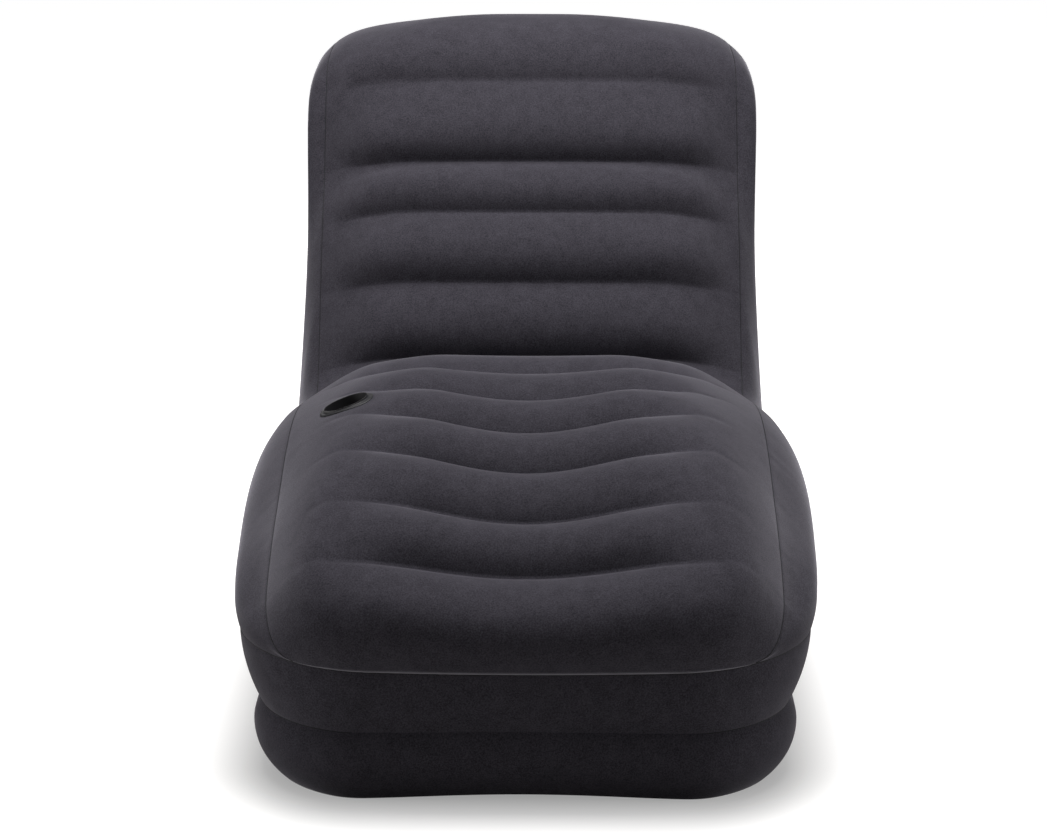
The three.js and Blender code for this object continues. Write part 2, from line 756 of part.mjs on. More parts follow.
// Waist deck with its air holes, and the floor panel
function flatSheet(points, thick, z, holes = []) {
  const shape = new THREE.Shape(points.map((p) => new THREE.Vector2(p.x, p.y)));
  holes.forEach(([x, y, radius]) => {
    const hole = new THREE.Path();
    hole.absarc(x, y, radius, 0, Math.PI * 2, true);
    shape.holes.push(hole);
  });
  const geometry = new THREE.ExtrudeGeometry(shape, {
    depth: thick,
    bevelEnabled: false,
    curveSegments: holeSteps,
  });
  geometry.translate(0, 0, z);
  return geometry;
}
const deckHoles = deckHoleShares.map((share) => [0, share * halfLength, deckHole / 2]);
addPiece('waist_deck', flatSheet(deckOutline, film, waistHeight - film / 2, deckHoles), filmVinyl());
addPiece('floor_panel', flatSheet(ring(foot, 0), skin, 0), vinyl());

// Webs of the base chamber, between the floor panel and the waist deck
baseWebShares.forEach((share, k) => {
  const reach = foot.half - webEndClear;
  const low = skin + weldGap;
  const high = waistHeight - film / 2 - weldGap;
  const shape = new THREE.Shape();
  shape.moveTo(-reach, low);
  shape.lineTo(reach, low);
  shape.lineTo(reach, high);
  shape.lineTo(-reach, high);
  airHoleShares.forEach((place) => {
    const hole = new THREE.Path();
    hole.absarc(place * reach, (low + high) / 2, airHole / 2, 0, Math.PI * 2, true);
    shape.holes.push(hole);
  });
  const geometry = new THREE.ExtrudeGeometry(shape, {
    depth: film,
    bevelEnabled: false,
    curveSegments: holeSteps,
  });
  geometry.rotateX(Math.PI / 2);
  const mesh = addPiece(`base_web_${k + 1}`, geometry, filmVinyl());
  mesh.position.y = share * halfLength + film / 2;
});

// Sheets drawn back from their seams
setBack(topSheet, ['first', 'last', 'sides']);
setBack(rearSheet, ['first', 'last', 'sides']);
setBack(rightSheet, ['sides']);
setBack(leftSheet, ['sides']);
setBack(middleSheet, ['first', 'last']);
setBack(baseSheet, ['last']);

// A place on a sheet, with the outward direction there
function spot(station, share) {
  const reach = 0.05;
  const point = panelPoint(station, share);
  const along = panelPoint(station + reach, share).sub(panelPoint(station - reach, share));
  const across = panelPoint(station, share + reach).sub(panelPoint(station, share - reach));
  return { point, normal: across.cross(along).normalize() };
}

function placedAt(place) {
  const turn = new THREE.Quaternion().setFromUnitVectors(new THREE.Vector3(0, 0, 1), place.normal);
  return (geometry) => {
    const moved = geometry.clone();
    moved.applyQuaternion(turn);
    moved.translate(place.point.x, place.point.y, place.point.z);
    return solid(moved);
  };
}

// Cup holder: a moulded well whose flange is welded on the left ridge of the leg rest
const cup = spot(cupStation, cupAcrossShare);
const atCup = placedAt(cup);
const cupOuter = cupBore / 2 + cupWall;
const cupHoleRadius = cupOuter + weldGap;
const cupFlangeRadius = cupOuter + cupFlange;
const topSolid = solid(slab(topSheet, 0, -skin));
const topHole = atCup(rod(cupHoleRadius, -overrun, overrun));
addPiece('lounging_panel', fromSolid(topSolid.subtract(topHole)), flock());
const cupCup = turned([
  [0, -cupDepth],
  [cupOuter, -cupDepth],
  [cupOuter, cupLip],
  [cupBore / 2, cupLip],
  [cupBore / 2, -cupDepth + cupWall],
  [0, -cupDepth + cupWall],
]);
const cupSlab = solid(slab(topSheet, weldGap + flangeThick, weldGap));
const cupRing = atCup(rod(cupFlangeRadius, -overrun, overrun)).subtract(
  atCup(rod(cupOuter - cupWall / 2, -overrun * 2, overrun * 2)),
);
addPiece('cup_holder', fromSolid(atCup(cupCup).add(cupSlab.intersect(cupRing))), vinyl());

// Valve seat: a moulded ring welded in the lowest cell of the rear panel
const valve = spot(valveStation, valveAcrossShare);
const atValve = placedAt(valve);
const seatTop = valveCollar;
const boreTop = valveBore / 2;
const taper = 0.2;
const boreAt = (z) => boreTop - taper * (seatTop - z);
const barrelOuter = boreTop + valveWall;
const valveFlangeRadius = barrelOuter + valveFlange;
const rearSolid = solid(slab(rearSheet, 0, -skin));
const rearHole = atValve(rod(barrelOuter + weldGap, -overrun, overrun));
addPiece('rear_panel', fromSolid(rearSolid.subtract(rearHole)), flock());
const barrel = turned([
  [boreAt(-valveInside), -valveInside],
  [barrelOuter, -valveInside],
  [barrelOuter, seatTop],
  [boreTop, seatTop],
]);
const valveSlab = solid(slab(rearSheet, weldGap + flangeThick, weldGap));
const valveRing = atValve(rod(valveFlangeRadius, -overrun, overrun)).subtract(
  atValve(rod(barrelOuter - valveWall / 2, -overrun * 2, overrun * 2)),
);
const plugLow = seatTop + weldGap;
const plugHigh = plugLow + plugHeadThick;
const hingeGap = weldGap / 2;
const underSkin = solid(slab(rearSheet, weldGap, -overrun));
const seatLug = block(
  plugHingeReach + hingeGap, plugHingeReach + lugLength, strapWidth, -valveCollar, plugHigh,
);
const seatBody = atValve(barrel)
  .add(valveSlab.intersect(valveRing))
  .add(atValve(seatLug).subtract(underSkin));
addPiece('valve_seat', fromSolid(seatBody), moulded());

// Deflating plug: a hollow tapered stopper on a strap, with the inflating nozzle in its middle
const plugBottom = -plugDepth;
const nozzleRadius = nozzleBore / 2;
const plugTurned = turned([
  [nozzleRadius, plugBottom],
  [boreAt(plugBottom) - weldGap, plugBottom],
  [boreAt(plugLow) - weldGap, plugLow],
  [plugHead / 2, plugLow],
  [plugHead / 2, plugHigh],
  [nozzleMouth / 2, plugHigh],
  [nozzleRadius, plugHigh - capDepth - weldGap],
]);
const plugStrap = block(
  plugHead / 2 - plugHeadThick, plugHingeReach - hingeGap, strapWidth, plugLow, plugHigh,
);
const capLow = plugHigh + weldGap;
const capHigh = capLow + capThick;
const capLug = block(
  -capHingeReach - lugLength, -capHingeReach - hingeGap, strapWidth, plugHigh - plugHeadThick / 2, capHigh,
);
const flapTop = plugBottom - weldGap;
const flapLow = flapTop - flapThick;
const flapLug = block(
  flapHingeReach + hingeGap,
  flapHingeReach + lugLength - hingeGap,
  strapWidth,
  flapLow,
  plugBottom + plugHeadThick,
);
const plugBody = solid(plugTurned).add(solid(plugStrap)).add(solid(capLug)).add(solid(flapLug));

function placeOnValve(mesh) {
  mesh.position.copy(valve.point);
  mesh.quaternion.setFromUnitVectors(new THREE.Vector3(0, 0, 1), valve.normal);
}
placeOnValve(addPiece('valve_plug', fromSolid(plugBody), moulded()));

// Inflating cap: a small tapered stopper on its own strap
const capTipRadius = nozzleRadius - weldGap;
const capMouthRadius = nozzleMouth / 2 - weldGap;
const capTurned = turned([
  [0, plugHigh - capDepth],
  [capTipRadius, plugHigh - capDepth],
  [capMouthRadius, plugHigh],
  [capMouthRadius, capLow],
  [capHead / 2, capLow],
  [capHead / 2, capHigh],
  [0, capHigh],
]);
const capStrap = block(-capHingeReach + hingeGap, -capHead / 2 + capThick, strapWidth, capLow, capHigh);
const capBody = solid(capTurned).add(solid(capStrap));
placeOnValve(addPiece('inflation_cap', fromSolid(capBody), moulded()));

// Check flap: a soft disc under the nozzle that the air inside presses shut
const flapDisc = rod(flapDiameter / 2, flapLow, flapTop);
const flapStrap = block(0, flapHingeReach - hingeGap, strapWidth, flapLow, flapTop);
placeOnValve(addPiece('check_flap', fromSolid(solid(flapDisc).add(solid(flapStrap))), moulded()));

addPiece('side_panel_right', slab(rightSheet, 0, -skin), flock());
addPiece('side_panel_left', slab(leftSheet, 0, -skin), flock());
addPiece('middle_band', slab(middleSheet, 0, -skin), flock());
addPiece('base_band', slab(baseSheet, 0, -skin), flock());

export default chair;
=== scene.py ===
"""Looks of the inflatable lounge chair: flocked vinyl skins, inner webs, weld beads, cup holder and air valve."""

import math

import bmesh
import bpy
import numpy as np
from mathutils import Matrix, Vector
from mathutils.bvhtree import BVHTree
from mathutils.kdtree import KDTree


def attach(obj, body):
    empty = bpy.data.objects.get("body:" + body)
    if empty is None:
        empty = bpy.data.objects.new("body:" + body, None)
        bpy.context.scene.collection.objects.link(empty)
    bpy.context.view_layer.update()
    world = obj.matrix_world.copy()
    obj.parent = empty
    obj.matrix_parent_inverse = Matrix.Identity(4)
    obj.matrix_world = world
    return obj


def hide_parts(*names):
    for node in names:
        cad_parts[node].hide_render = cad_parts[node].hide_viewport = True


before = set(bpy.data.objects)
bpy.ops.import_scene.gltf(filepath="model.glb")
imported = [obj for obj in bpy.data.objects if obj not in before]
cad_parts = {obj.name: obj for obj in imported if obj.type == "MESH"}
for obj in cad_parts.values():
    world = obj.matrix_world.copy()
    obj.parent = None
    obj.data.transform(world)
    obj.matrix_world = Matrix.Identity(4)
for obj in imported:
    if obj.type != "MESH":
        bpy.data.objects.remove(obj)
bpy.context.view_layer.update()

# Floor panel. A sheet of black vinyl, cut to the outline of the base and welded to the foot of the base band.
# The air in the chamber above draws its edge up off the floor along the middle of the front and of the rear.
length, width, height = 1.7, 0.86, 0.94
half_length = length / 2
half_width = width / 2
front_bow = 0.03
rear_bow = 0.02
skin = 0.001
foot_lift = 0.014
lift_half_width = 0.27
lift_reach = 0.24
lift_run = 0.2
front_tip_angle = math.pi / 6
half_panel = 0.37
inner_point = np.array([0, 0, 0.108])
edge_steps, front_corner_steps, side_steps, rear_corner_steps = 40, 24, 60, 16

foot = {"half": half_width - 0.063, "corner": 0.14, "front": half_length - 0.045, "rear": half_length - 0.045}
waist = {"half": half_width - 0.043, "corner": 0.15, "front": half_length - 0.029, "rear": half_length - 0.029}
shoulder = {"half": half_width - 0.011, "corner": 0.204, "front": half_length - 0.011, "rear": half_length - 0.01}
rear_tip_angle = math.asin((half_panel - shoulder["half"] + shoulder["corner"]) / shoulder["corner"])


def graded(count, crowding):
    """Shares from 0 to 1 that crowd towards both ends."""
    t = np.linspace(0, 1, count + 1)
    return (1 - crowding) * t + crowding * (1 - np.cos(math.pi * t)) / 2


def end_reach(level, across, end):
    """How far the front or the rear edge of an outline reaches at a place across."""
    bow = front_bow if end == "front" else rear_bow
    past = np.maximum(np.abs(across) - (level["half"] - level["corner"]), 0)
    corner = np.sqrt(np.maximum(level["corner"] ** 2 - past ** 2, 0))
    return level[end] - bow - level["corner"] + corner + bow * (1 - (across / level["half"]) ** 2)


def tip_across(level, angle):
    return level["half"] - level["corner"] + level["corner"] * np.sin(angle)


def outline(level):
    """The right half of an outline, in four runs: front edge, front corner, rear corner and rear edge."""
    front_x = np.linspace(0, 1, edge_steps + 1) * tip_across(level, front_tip_angle)
    front_corner_x = tip_across(level, np.linspace(front_tip_angle, math.pi / 2, front_corner_steps + 1)[1:])
    straight_y = np.linspace(0, 1, side_steps + 1)[1:-1]
    rear_corner_x = tip_across(level, np.linspace(math.pi / 2, rear_tip_angle, rear_corner_steps + 1))
    rear_x = np.linspace(1, 0, edge_steps + 1)[1:] * tip_across(level, rear_tip_angle)
    x = np.concatenate([front_x, front_corner_x])
    front = np.stack([x, -end_reach(level, x, "front")], axis=1)
    x = np.concatenate([rear_corner_x, rear_x])
    rear = np.stack([x, end_reach(level, x, "rear")], axis=1)
    run = rear[0, 1] - front[-1, 1]
    side = np.stack([np.full(len(straight_y), level["half"]), front[-1, 1] + run * straight_y], axis=1)
    return np.concatenate([front, side, rear])


def ring(level, z):
    """One closed outline at a height, as points in order."""
    right = outline(level)
    left = right[-2:0:-1] * [-1, 1]
    flat = np.concatenate([right, left])
    return np.column_stack([flat, np.broadcast_to(z, len(flat))])


def lifted(x, y, z):
    """Heights near the floor, drawn up along the middle of the front and the rear edge."""
    middle = np.clip(1 - (x / lift_half_width) ** 2, 0, 1) ** 1.5
    edge = np.clip((np.abs(y) - (half_length - lift_reach)) / lift_run, 0, 1)
    return z + foot_lift * middle * edge ** 2


def quads_of(rows, columns, closed=False):
    """The quads between the rows of a sheet, by point number."""
    index = np.arange(rows * columns).reshape(rows, columns)
    right = np.roll(index, -1, axis=1) if closed else index[:, 1:]
    here = index if closed else index[:, :-1]
    return np.stack([here[:-1], right[:-1], right[1:], here[1:]], axis=-1).reshape(-1, 4)


def quad_mesh(name, flat, quads):
    """A smooth mesh of quads, with its faces turned away from a point inside the chair."""
    here = flat[quads]
    out = np.cross(here[:, 2] - here[:, 0], here[:, 3] - here[:, 1])
    if np.einsum("ij,ij->", out, here.mean(axis=1) - inner_point) < 0:
        quads = quads[:, ::-1]
    mesh = bpy.data.meshes.new(name)
    mesh.from_pydata(flat.tolist(), [], quads.tolist())
    mesh.shade_smooth()
    return mesh


def sheet_mesh(name, points, closed=False):
    return quad_mesh(name, points.reshape(-1, 3), quads_of(*points.shape[:2], closed))


def new_object(name, data):
    """An object at the origin, unturned and unscaled."""
    made = bpy.data.objects.new(name, data)
    bpy.context.collection.objects.link(made)
    return made


def add_piece(name, mesh, material, thickness=skin, soft_below=-1):
    """A piece of sheet with its thickness inward. Its cut edges stay crisp, apart from those below a height."""
    if thickness:
        body = bmesh.new()
        body.from_mesh(mesh)
        for edge in body.edges:
            if edge.is_boundary and max(edge.verts[0].co.z, edge.verts[1].co.z) > soft_below:
                edge.smooth = False
        body.to_mesh(mesh)
        body.free()
    piece = new_object(name, mesh)
    mesh.materials.clear()
    mesh.materials.append(material)
    if thickness:
        wall = piece.modifiers.new("wall", "SOLIDIFY")
        wall.thickness = thickness
        wall.offset = -1
    return piece


def fit(piece, body, node=None):
    """Ties a piece to its body, and hides the CAD node that it stands for."""
    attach(piece, body)
    if node:
        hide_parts(node)


def add_node(tree, kind, inputs, **settings):
    """Adds a node with its settings. Each input takes a plain value, or the outlet of another node."""
    node = tree.nodes.new(kind)
    for name, value in settings.items():
        setattr(node, name, value)
    for place, value in inputs.items():
        if isinstance(value, bpy.types.NodeSocket):
            tree.links.new(value, node.inputs[place])
        else:
            node.inputs[place].default_value = value
    return node


def new_material(name, roughness, specular):
    material = bpy.data.materials.new(name)
    material.use_nodes = True
    shader = material.node_tree.nodes["Principled BSDF"]
    shader.inputs["Roughness"].default_value = roughness
    shader.inputs["Specular IOR Level"].default_value = specular
    return material, material.node_tree, shader


def noise_at(tree, scale, detail, roughness=0.5):
    """A noise pattern over the piece, in the chair's own metres."""
    place = tree.nodes.get("Place") or tree.nodes.new("ShaderNodeTexCoord")
    place.name = "Place"
    inputs = {"Vector": place.outputs["Object"], "Scale": scale, "Detail": detail, "Roughness": roughness}
    return add_node(tree, "ShaderNodeTexNoise", inputs).outputs["Fac"]


def ramp_of(tree, factor, low, high, start=0.3, end=0.7):
    """A blend from one colour to another by a pattern."""
    ramp = add_node(tree, "ShaderNodeValToRGB", {"Fac": factor})
    for stop, position, colour in zip(ramp.color_ramp.elements, (start, end), (low, high)):
        stop.position = position
        stop.color = (*colour, 1)
    return ramp.outputs["Color"]


def bump_from(tree, shader, factor, strength, distance, before=None):
    """Fine relief from a pattern, on top of the relief before it."""
    inputs = {"Height": factor, "Strength": strength, "Distance": distance}
    if before:
        inputs["Normal"] = before
    relief = add_node(tree, "ShaderNodeBump", inputs).outputs["Normal"]
    tree.links.new(relief, shader.inputs["Normal"])
    return relief


shine_spread = 0.07


def vinyl_material(name, low, high, roughness, grain_scale=900, specular=0.45):
    """Plain vinyl, slightly cloudy in its colour and its shine, with a fine grain."""
    material, tree, shader = new_material(name, roughness, specular)
    cloudy = noise_at(tree, scale=9, detail=4)
    tree.links.new(ramp_of(tree, cloudy, low, high), shader.inputs["Base Color"])
    worn = noise_at(tree, scale=26, detail=3)
    dull = ramp_of(tree, worn, (roughness - shine_spread,) * 3, (roughness + shine_spread,) * 3)
    tree.links.new(dull, shader.inputs["Roughness"])
    bump_from(tree, shader, noise_at(tree, scale=grain_scale, detail=2), strength=0.25, distance=0.0002)
    return material


sheet_vinyl = vinyl_material("sheet_vinyl", (0.011, 0.0105, 0.012), (0.019, 0.018, 0.0205), 0.5)

rim = ring(foot, 0)
shrink = np.linspace(0.02, 1, 24)[:, None, None]
floor_points = rim[None, :, :] * shrink
floor_points[..., 2] = lifted(floor_points[..., 0], floor_points[..., 1], skin / 4)
floor_mesh = sheet_mesh("floor_panel_sheet", floor_points, closed=True)
fit(add_piece("floor_panel_sheet", floor_mesh, sheet_vinyl), "root", "floor_panel")

# Base band. Flocked vinyl that goes all round, welded to the floor panel at its foot and to the middle band at the
# waist seam. The air in the base chamber bows it outward between the two welds.
waist_height = 0.107
shoulder_height = 0.205
seam_press = 0.0005
seam_reach = 0.0035
band_rows = graded(30, 0.75)


def between(lower, upper, t, out):
    """The outline at a share of the way between two levels, bowed outward."""
    return {key: lower[key] + (upper[key] - lower[key]) * t + out for key in lower}


def band_points(lower, upper, low, high, bulge, power):
    """Rows of outlines from one seam up to the next. The edge is drawn in along both welds."""
    rows = []
    for t in band_rows:
        bow = bulge * (1 - abs(2 * t - 1) ** power)
        pressed = seam_press * (math.exp(-(t * (high - low) / seam_reach) ** 2)
                                + math.exp(-((1 - t) * (high - low) / seam_reach) ** 2))
        rows.append(ring(between(lower, upper, t, bow - pressed), low + (high - low) * t))
    return np.array(rows)


def flock_material(name, low, high, sheen):
    """Short nylon fibres on vinyl: matt, finely speckled, with a soft sheen where it is seen edge on."""
    material, tree, shader = new_material(name, roughness=0.92, specular=0.1)
    shader.inputs["Sheen Weight"].default_value = sheen
    shader.inputs["Sheen Roughness"].default_value = 0.33
    shader.inputs["Sheen Tint"].default_value = (0.88, 0.85, 0.94, 1)
    fibres = noise_at(tree, scale=480, detail=4, roughness=0.6)
    brushed = noise_at(tree, scale=42, detail=4, roughness=0.6)
    mixed = add_node(tree, "ShaderNodeMix", {"Factor": 0.22, "A": fibres, "B": brushed}, data_type="FLOAT")
    shade = ramp_of(tree, mixed.outputs["Result"], low, high, start=0.36, end=0.64)
    tree.links.new(shade, shader.inputs["Base Color"])
    nap = bump_from(tree, shader, brushed, strength=0.2, distance=0.0008)
    pile = noise_at(tree, scale=950, detail=2)
    bump_from(tree, shader, pile, strength=0.32, distance=0.0004, before=nap)
    return material


flock = flock_material("charcoal_flock", (0.024, 0.0222, 0.0282), (0.060, 0.0556, 0.0685), sheen=0.4)


def add_skin(node, mesh, soft_below=-1):
    """A flocked skin that stands for its CAD node."""
    fit(add_piece(mesh.name, mesh, flock, soft_below=soft_below), "root", node)


base_points = band_points(foot, waist, 0, waist_height, bulge=0.0195, power=2.2)
base_points[..., 2] = np.maximum(lifted(base_points[..., 0], base_points[..., 1], base_points[..., 2]), skin / 4)
add_skin("base_band", sheet_mesh("base_band_skin", base_points, closed=True))

# Middle band. The same flocked vinyl in a second ring, from the waist seam up to the shoulder seam.
# It leans out as it rises, because the body above is wider than the base.
middle_points = band_points(waist, shoulder, waist_height, shoulder_height, bulge=0.0065, power=2)
add_skin("middle_band", sheet_mesh("middle_band_skin", middle_points, closed=True))

# Lounging panel. One flocked sheet from the front shoulder seam over the legs, the hip hollow and the back to the
# top seam. Webs welded inside hold it down along creases, and the air puffs each cell between two creases.
panel_cells = 15
last_station = 20
cell_rows = graded(14, 0.7)
across_shares = 2 * graded(112, 0.78) - 1
ridge_height = 0.09
trough_depth = 0.046
cell_bulge = 0.029
end_dimple = 0.0012
dimple_place = 0.97
dimple_size = 0.016
dimple_reach = 0.07
crease_reach = 0.821
cell_skews = np.array([0.2] + [0.0] * 9 + [0.3, 0.45, 0.5, 0.62, 0.6] + [0.0] * 5)
crease_powers = np.array([0.94] * 10 + [1.06] * 5 + [1.0] * 5)

seam_shares = np.array([
    [0, -0.944, 0.2181, 0.889], [0.25, -0.928, 0.2287, 0.945], [0.5, -0.902, 0.2457, 0.976],
    [0.75, -0.872, 0.267, 0.992], [1, -0.839, 0.2883, 1], [2, -0.727, 0.3436, 1], [3, -0.585, 0.384, 1],
    [4, -0.441, 0.4213, 1], [5, -0.3, 0.4383, 1], [6, -0.153, 0.4309, 1], [7, -0.012, 0.4043, 1],
    [8, 0.107, 0.3691, 1], [9, 0.207, 0.355, 1], [10, 0.283, 0.392, 1], [11, 0.372, 0.5225, 1],
    [12, 0.453, 0.6375, 1], [13, 0.535, 0.7275, 1], [14, 0.617, 0.873, 1], [14.25, 0.664, 0.921, 0.998],
    [14.5, 0.737, 0.943, 0.986], [14.75, 0.809, 0.942, 0.986], [15, 0.862, 0.923, 0.998], [16, 0.894, 0.8245, 1],
    [17, 0.915, 0.6915, 1], [18, 0.929, 0.5479, 1], [19, 0.938, 0.3936, 1], [20, 0.9415, 0.2181, 1],
])
rise_shares = np.array([
    [0, 0], [0.25, 0.42], [0.5, 0.7], [0.75, 0.89], [1, 1], [2, 0.96], [3, 0.93], [4, 0.74], [5, 0.56],
    [6, 0.54], [7, 0.6], [8, 0.46], [9, 0.45], [10, 0.6], [11, 0.76], [12, 0.7], [13, 0.62], [14, 0.52],
    [14.5, 0.37], [15, 0.42], [16, 0.44], [17, 0.44], [18, 0.44], [19, 0.44], [20, 0],
])
trough_shares = np.array([
    [0, 0], [1, 0.87], [2, 1], [3, 0.98], [4, 0.85], [5, 0.55], [6, 0.22], [7, 0], [8, 0.15], [9, 0.25],
    [10, 0.1], [11, 0], [20, 0],
])
ridge_shares = np.array([
    [0, 0.8], [1, 0.77], [2, 0.73], [3, 0.71], [4, 0.69], [5, 0.67], [6, 0.665], [7, 0.66], [8, 0.65], [9, 0.64],
    [10, 0.58], [11, 0.55], [20, 0.55],
])
arch_shares = np.array([[0, 0], [13.9, 0], [14.5, 1], [20, 1]])
arch_turn = 17
arch_run = 1.5
top_fade_drop = 0.65
top_fade_run = 0.6
bulge_shares = np.array([
    1.45, 1, 1, 1, 1, 1, 1, 0.8, 0.66, 0.62, 0.95, 0.9, 0.82, 0.9, 0.85, 0.448, 0.448, 0.448, 0.448, 0.3586,
])
fade_start_shares = np.array([
    0.45, 0.35, 0.35, 0.35, 0.35, 0.38, 0.35, 0.35, 0.45, 0.6, 0.7, 0.75, 0.75, 0.75, 0.8, 0.3, 0.3, 0.3, 0.3, 0.3,
])
fade_end_shares = np.array([1, 0.83, 0.82, 0.8, 0.8, 0.86, 0.97, 0.97, 0.97, 0.98] + [1] * 10)


def through(table, station, column=1):
    """Smooth values through a table of [station, value, ...] rows."""
    station = np.asarray(station, float)
    knots, values = table[:, 0], table[:, column]
    before = np.maximum(np.arange(len(knots)) - 1, 0)
    after = np.minimum(np.arange(len(knots)) + 1, len(knots) - 1)
    slopes = (values[after] - values[before]) / (knots[after] - knots[before])
    k = np.clip(np.searchsorted(knots, station, side="right") - 1, 0, len(knots) - 2)
    span = knots[k + 1] - knots[k]
    t = np.clip((station - knots[k]) / span, 0, 1)
    curve = slopes[k] * span * (t ** 3 - 2 * t ** 2 + t) + slopes[k + 1] * span * (t ** 3 - t ** 2)
    return values[k] + (values[k + 1] - values[k]) * (3 * t ** 2 - 2 * t ** 3) + curve


def eased(t):
    """A share held between 0 and 1 that starts and ends gently."""
    t = np.clip(t, 0, 1)
    return t ** 2 * (3 - 2 * t)


front_tip_half = tip_across(shoulder, front_tip_angle)


def seam_points(stations):
    """The side seam of the panels, on the right."""
    near_front = np.maximum(1 - stations, 0) ** 2
    near_rear = np.maximum(stations - (last_station - 1), 0)
    first, last = seam_shares[0], seam_shares[-1]
    x = through(seam_shares, stations, 3) * half_panel + (front_tip_half - first[3] * half_panel) * near_front
    front_shift = -end_reach(shoulder, front_tip_half, "front") - first[1] * half_length
    rear_shift = end_reach(shoulder, half_panel, "rear") - last[1] * half_length
    y = through(seam_shares, stations, 1) * half_length + front_shift * near_front + rear_shift * near_rear
    low_front = shoulder_height - first[2] * height
    low_rear = shoulder_height - last[2] * height
    z = through(seam_shares, stations, 2) * height + low_front * near_front + low_rear * near_rear
    return np.stack([x, y, z], axis=-1)


def seam_normals(stations):
    """The direction that the cells puff in, square to the side seam."""
    step = 0.12
    along = seam_points(np.minimum(stations + step, last_station)) - seam_points(np.maximum(stations - step, 0))
    flat = np.stack([-along[..., 2], along[..., 1]], axis=-1)
    return flat / np.linalg.norm(flat, axis=-1, keepdims=True)


def panel_points(stations, shares, cells):
    """Points of the lounging panel or the rear panel. Each row has a station and the cell that it belongs to."""
    seam = seam_points(stations)[:, None, :]
    normal = seam_normals(stations)[:, None, :]
    share = shares[None, :]
    across = np.abs(share)
    rise = ridge_height * through(rise_shares, stations)[:, None]
    trough = trough_depth * through(trough_shares, stations)[:, None]
    ridge = through(ridge_shares, stations)[:, None]
    valley = rise - trough * (1 + np.cos(math.pi * across / ridge)) / 2
    shoulder_fall = rise * np.sin((math.pi / 2) * (1 - across) / (1 - ridge))
    lift = np.where(across > ridge, shoulder_fall, valley)
    arch = np.clip(through(arch_shares, stations), 0, 1)[:, None]
    on_top = eased((arch_turn - stations) / arch_run)[:, None]
    # Over the top the arch is flatter in its middle and falls off faster at its ends than down the rear.
    rear_arch = 1 - across ** 3
    top_arch = 1.08 - 0.27 * across ** 3 - 0.81 * across ** 10
    lift = lift + (rise * (rear_arch + (top_arch - rear_arch) * on_top) - lift) * arch
    part = (stations - cells)[:, None]
    start, end = fade_start_shares[cells][:, None], fade_end_shares[cells][:, None]
    in_top_cell = (cells == panel_cells - 1)[:, None]
    start = start - in_top_cell * top_fade_drop * np.clip(part / top_fade_run, 0, 1)
    fade = eased((end - across) / (end - start))
    leaning = np.clip(part, 0, 1)
    leaning = leaning + cell_skews[cells][:, None] * leaning * (1 - leaning)
    puff = np.clip(4 * leaning * (1 - leaning), 0, 1) ** crease_powers[cells][:, None]
    lift = lift + cell_bulge * bulge_shares[cells][:, None] * puff * fade
    dimple = np.exp(-((across - dimple_place * end) * half_panel / dimple_size) ** 2)
    near_crease = np.exp(-(np.minimum(part, 1 - part) / dimple_reach) ** 2)
    at_crease = ((stations > 0.5) & (stations < panel_cells - 0.5))[:, None]
    lift = lift - end_dimple * dimple * near_crease * at_crease
    near_front = np.maximum(1 - stations, 0)[:, None]
    near_rear = np.maximum(stations - (last_station - 1), 0)[:, None]
    front_curve = end_reach(shoulder, front_tip_half, "front") - end_reach(shoulder, share * front_tip_half, "front")
    rear_curve = end_reach(shoulder, share * half_panel, "rear") - end_reach(shoulder, half_panel, "rear")
    x = share * seam[..., 0]
    y = seam[..., 1] + normal[..., 0] * lift + front_curve * near_front + rear_curve * near_rear
    z = seam[..., 2] + normal[..., 1] * lift
    return np.stack([x, y, z], axis=-1)


def rows_of(first_cell, end_cell):
    """Stations of the rows of a panel, and the cell that each belongs to."""
    stations = [np.array([float(first_cell)])]
    cells = [np.array([first_cell])]
    for cell in range(first_cell, end_cell):
        stations.append(cell + cell_rows[1:])
        cells.append(np.full(len(cell_rows) - 1, cell))
    return np.concatenate(stations), np.concatenate(cells)


def sheet_normals(points):
    """Outward normals of a sheet at each of its points."""
    down = np.gradient(points, axis=0)
    over = np.gradient(points, axis=1)
    normals = np.cross(over, down)
    normals /= np.maximum(np.linalg.norm(normals, axis=-1, keepdims=True), 1e-12)
    if np.einsum("ijk,ijk->", normals, points - inner_point) < 0:
        normals = -normals
    return normals


top_stations, top_cells = rows_of(0, panel_cells)
top_points = panel_points(top_stations, across_shares, top_cells)
top_normals = sheet_normals(top_points)

# Rear panel. A flocked sheet that closes the back, from the top seam down to the shoulder seam. Its shallow cells lie
# between the creases that the back webs hold.
rear_stations, rear_cells = rows_of(panel_cells, last_station)
rear_points = panel_points(rear_stations, across_shares, rear_cells)
rear_normals = sheet_normals(rear_points)

# Side panels. Two smooth flocked sheets, right and left, welded to the middle band along the shoulder seam and to
# the lounging panel and the rear panel along the side seam. Nothing holds them down between the seams.
side_puff = {"right": 0.024, "left": 0.021}
side_fullness = {"right": 1.06, "left": 1}
fullness_shares = np.array([
    [0, 1.3], [1, 1.5], [2, 1.9], [3, 1.85], [4, 1.55], [5, 1.25], [6, 1.05], [8, 1], [10, 1],
])
fullness_end = 10
round_end = 10.5
round_run = 3.5
foot_splay = 0.3
puff_powers = np.array([[0, 1.4], [9, 1.4], [12, 2], [14, 8], [15, 8], [16, 4], [17, 1.4], [20, 1.4]])
foot_line_shares = np.array([[1.75, 0], [7, 0.49], [10, 0.675], [14, 0.81], [15, 0.9], [18.34, 1]])
side_bulge_shares = np.array([
    [0, 0.3], [2, 1], [5, 1], [6, 0.85], [8, 0.35], [9.5, 0.05], [11, 0], [12, 0.2], [14, 1.05], [15, 1.05],
    [17, 0.4], [20, 0.1],
])
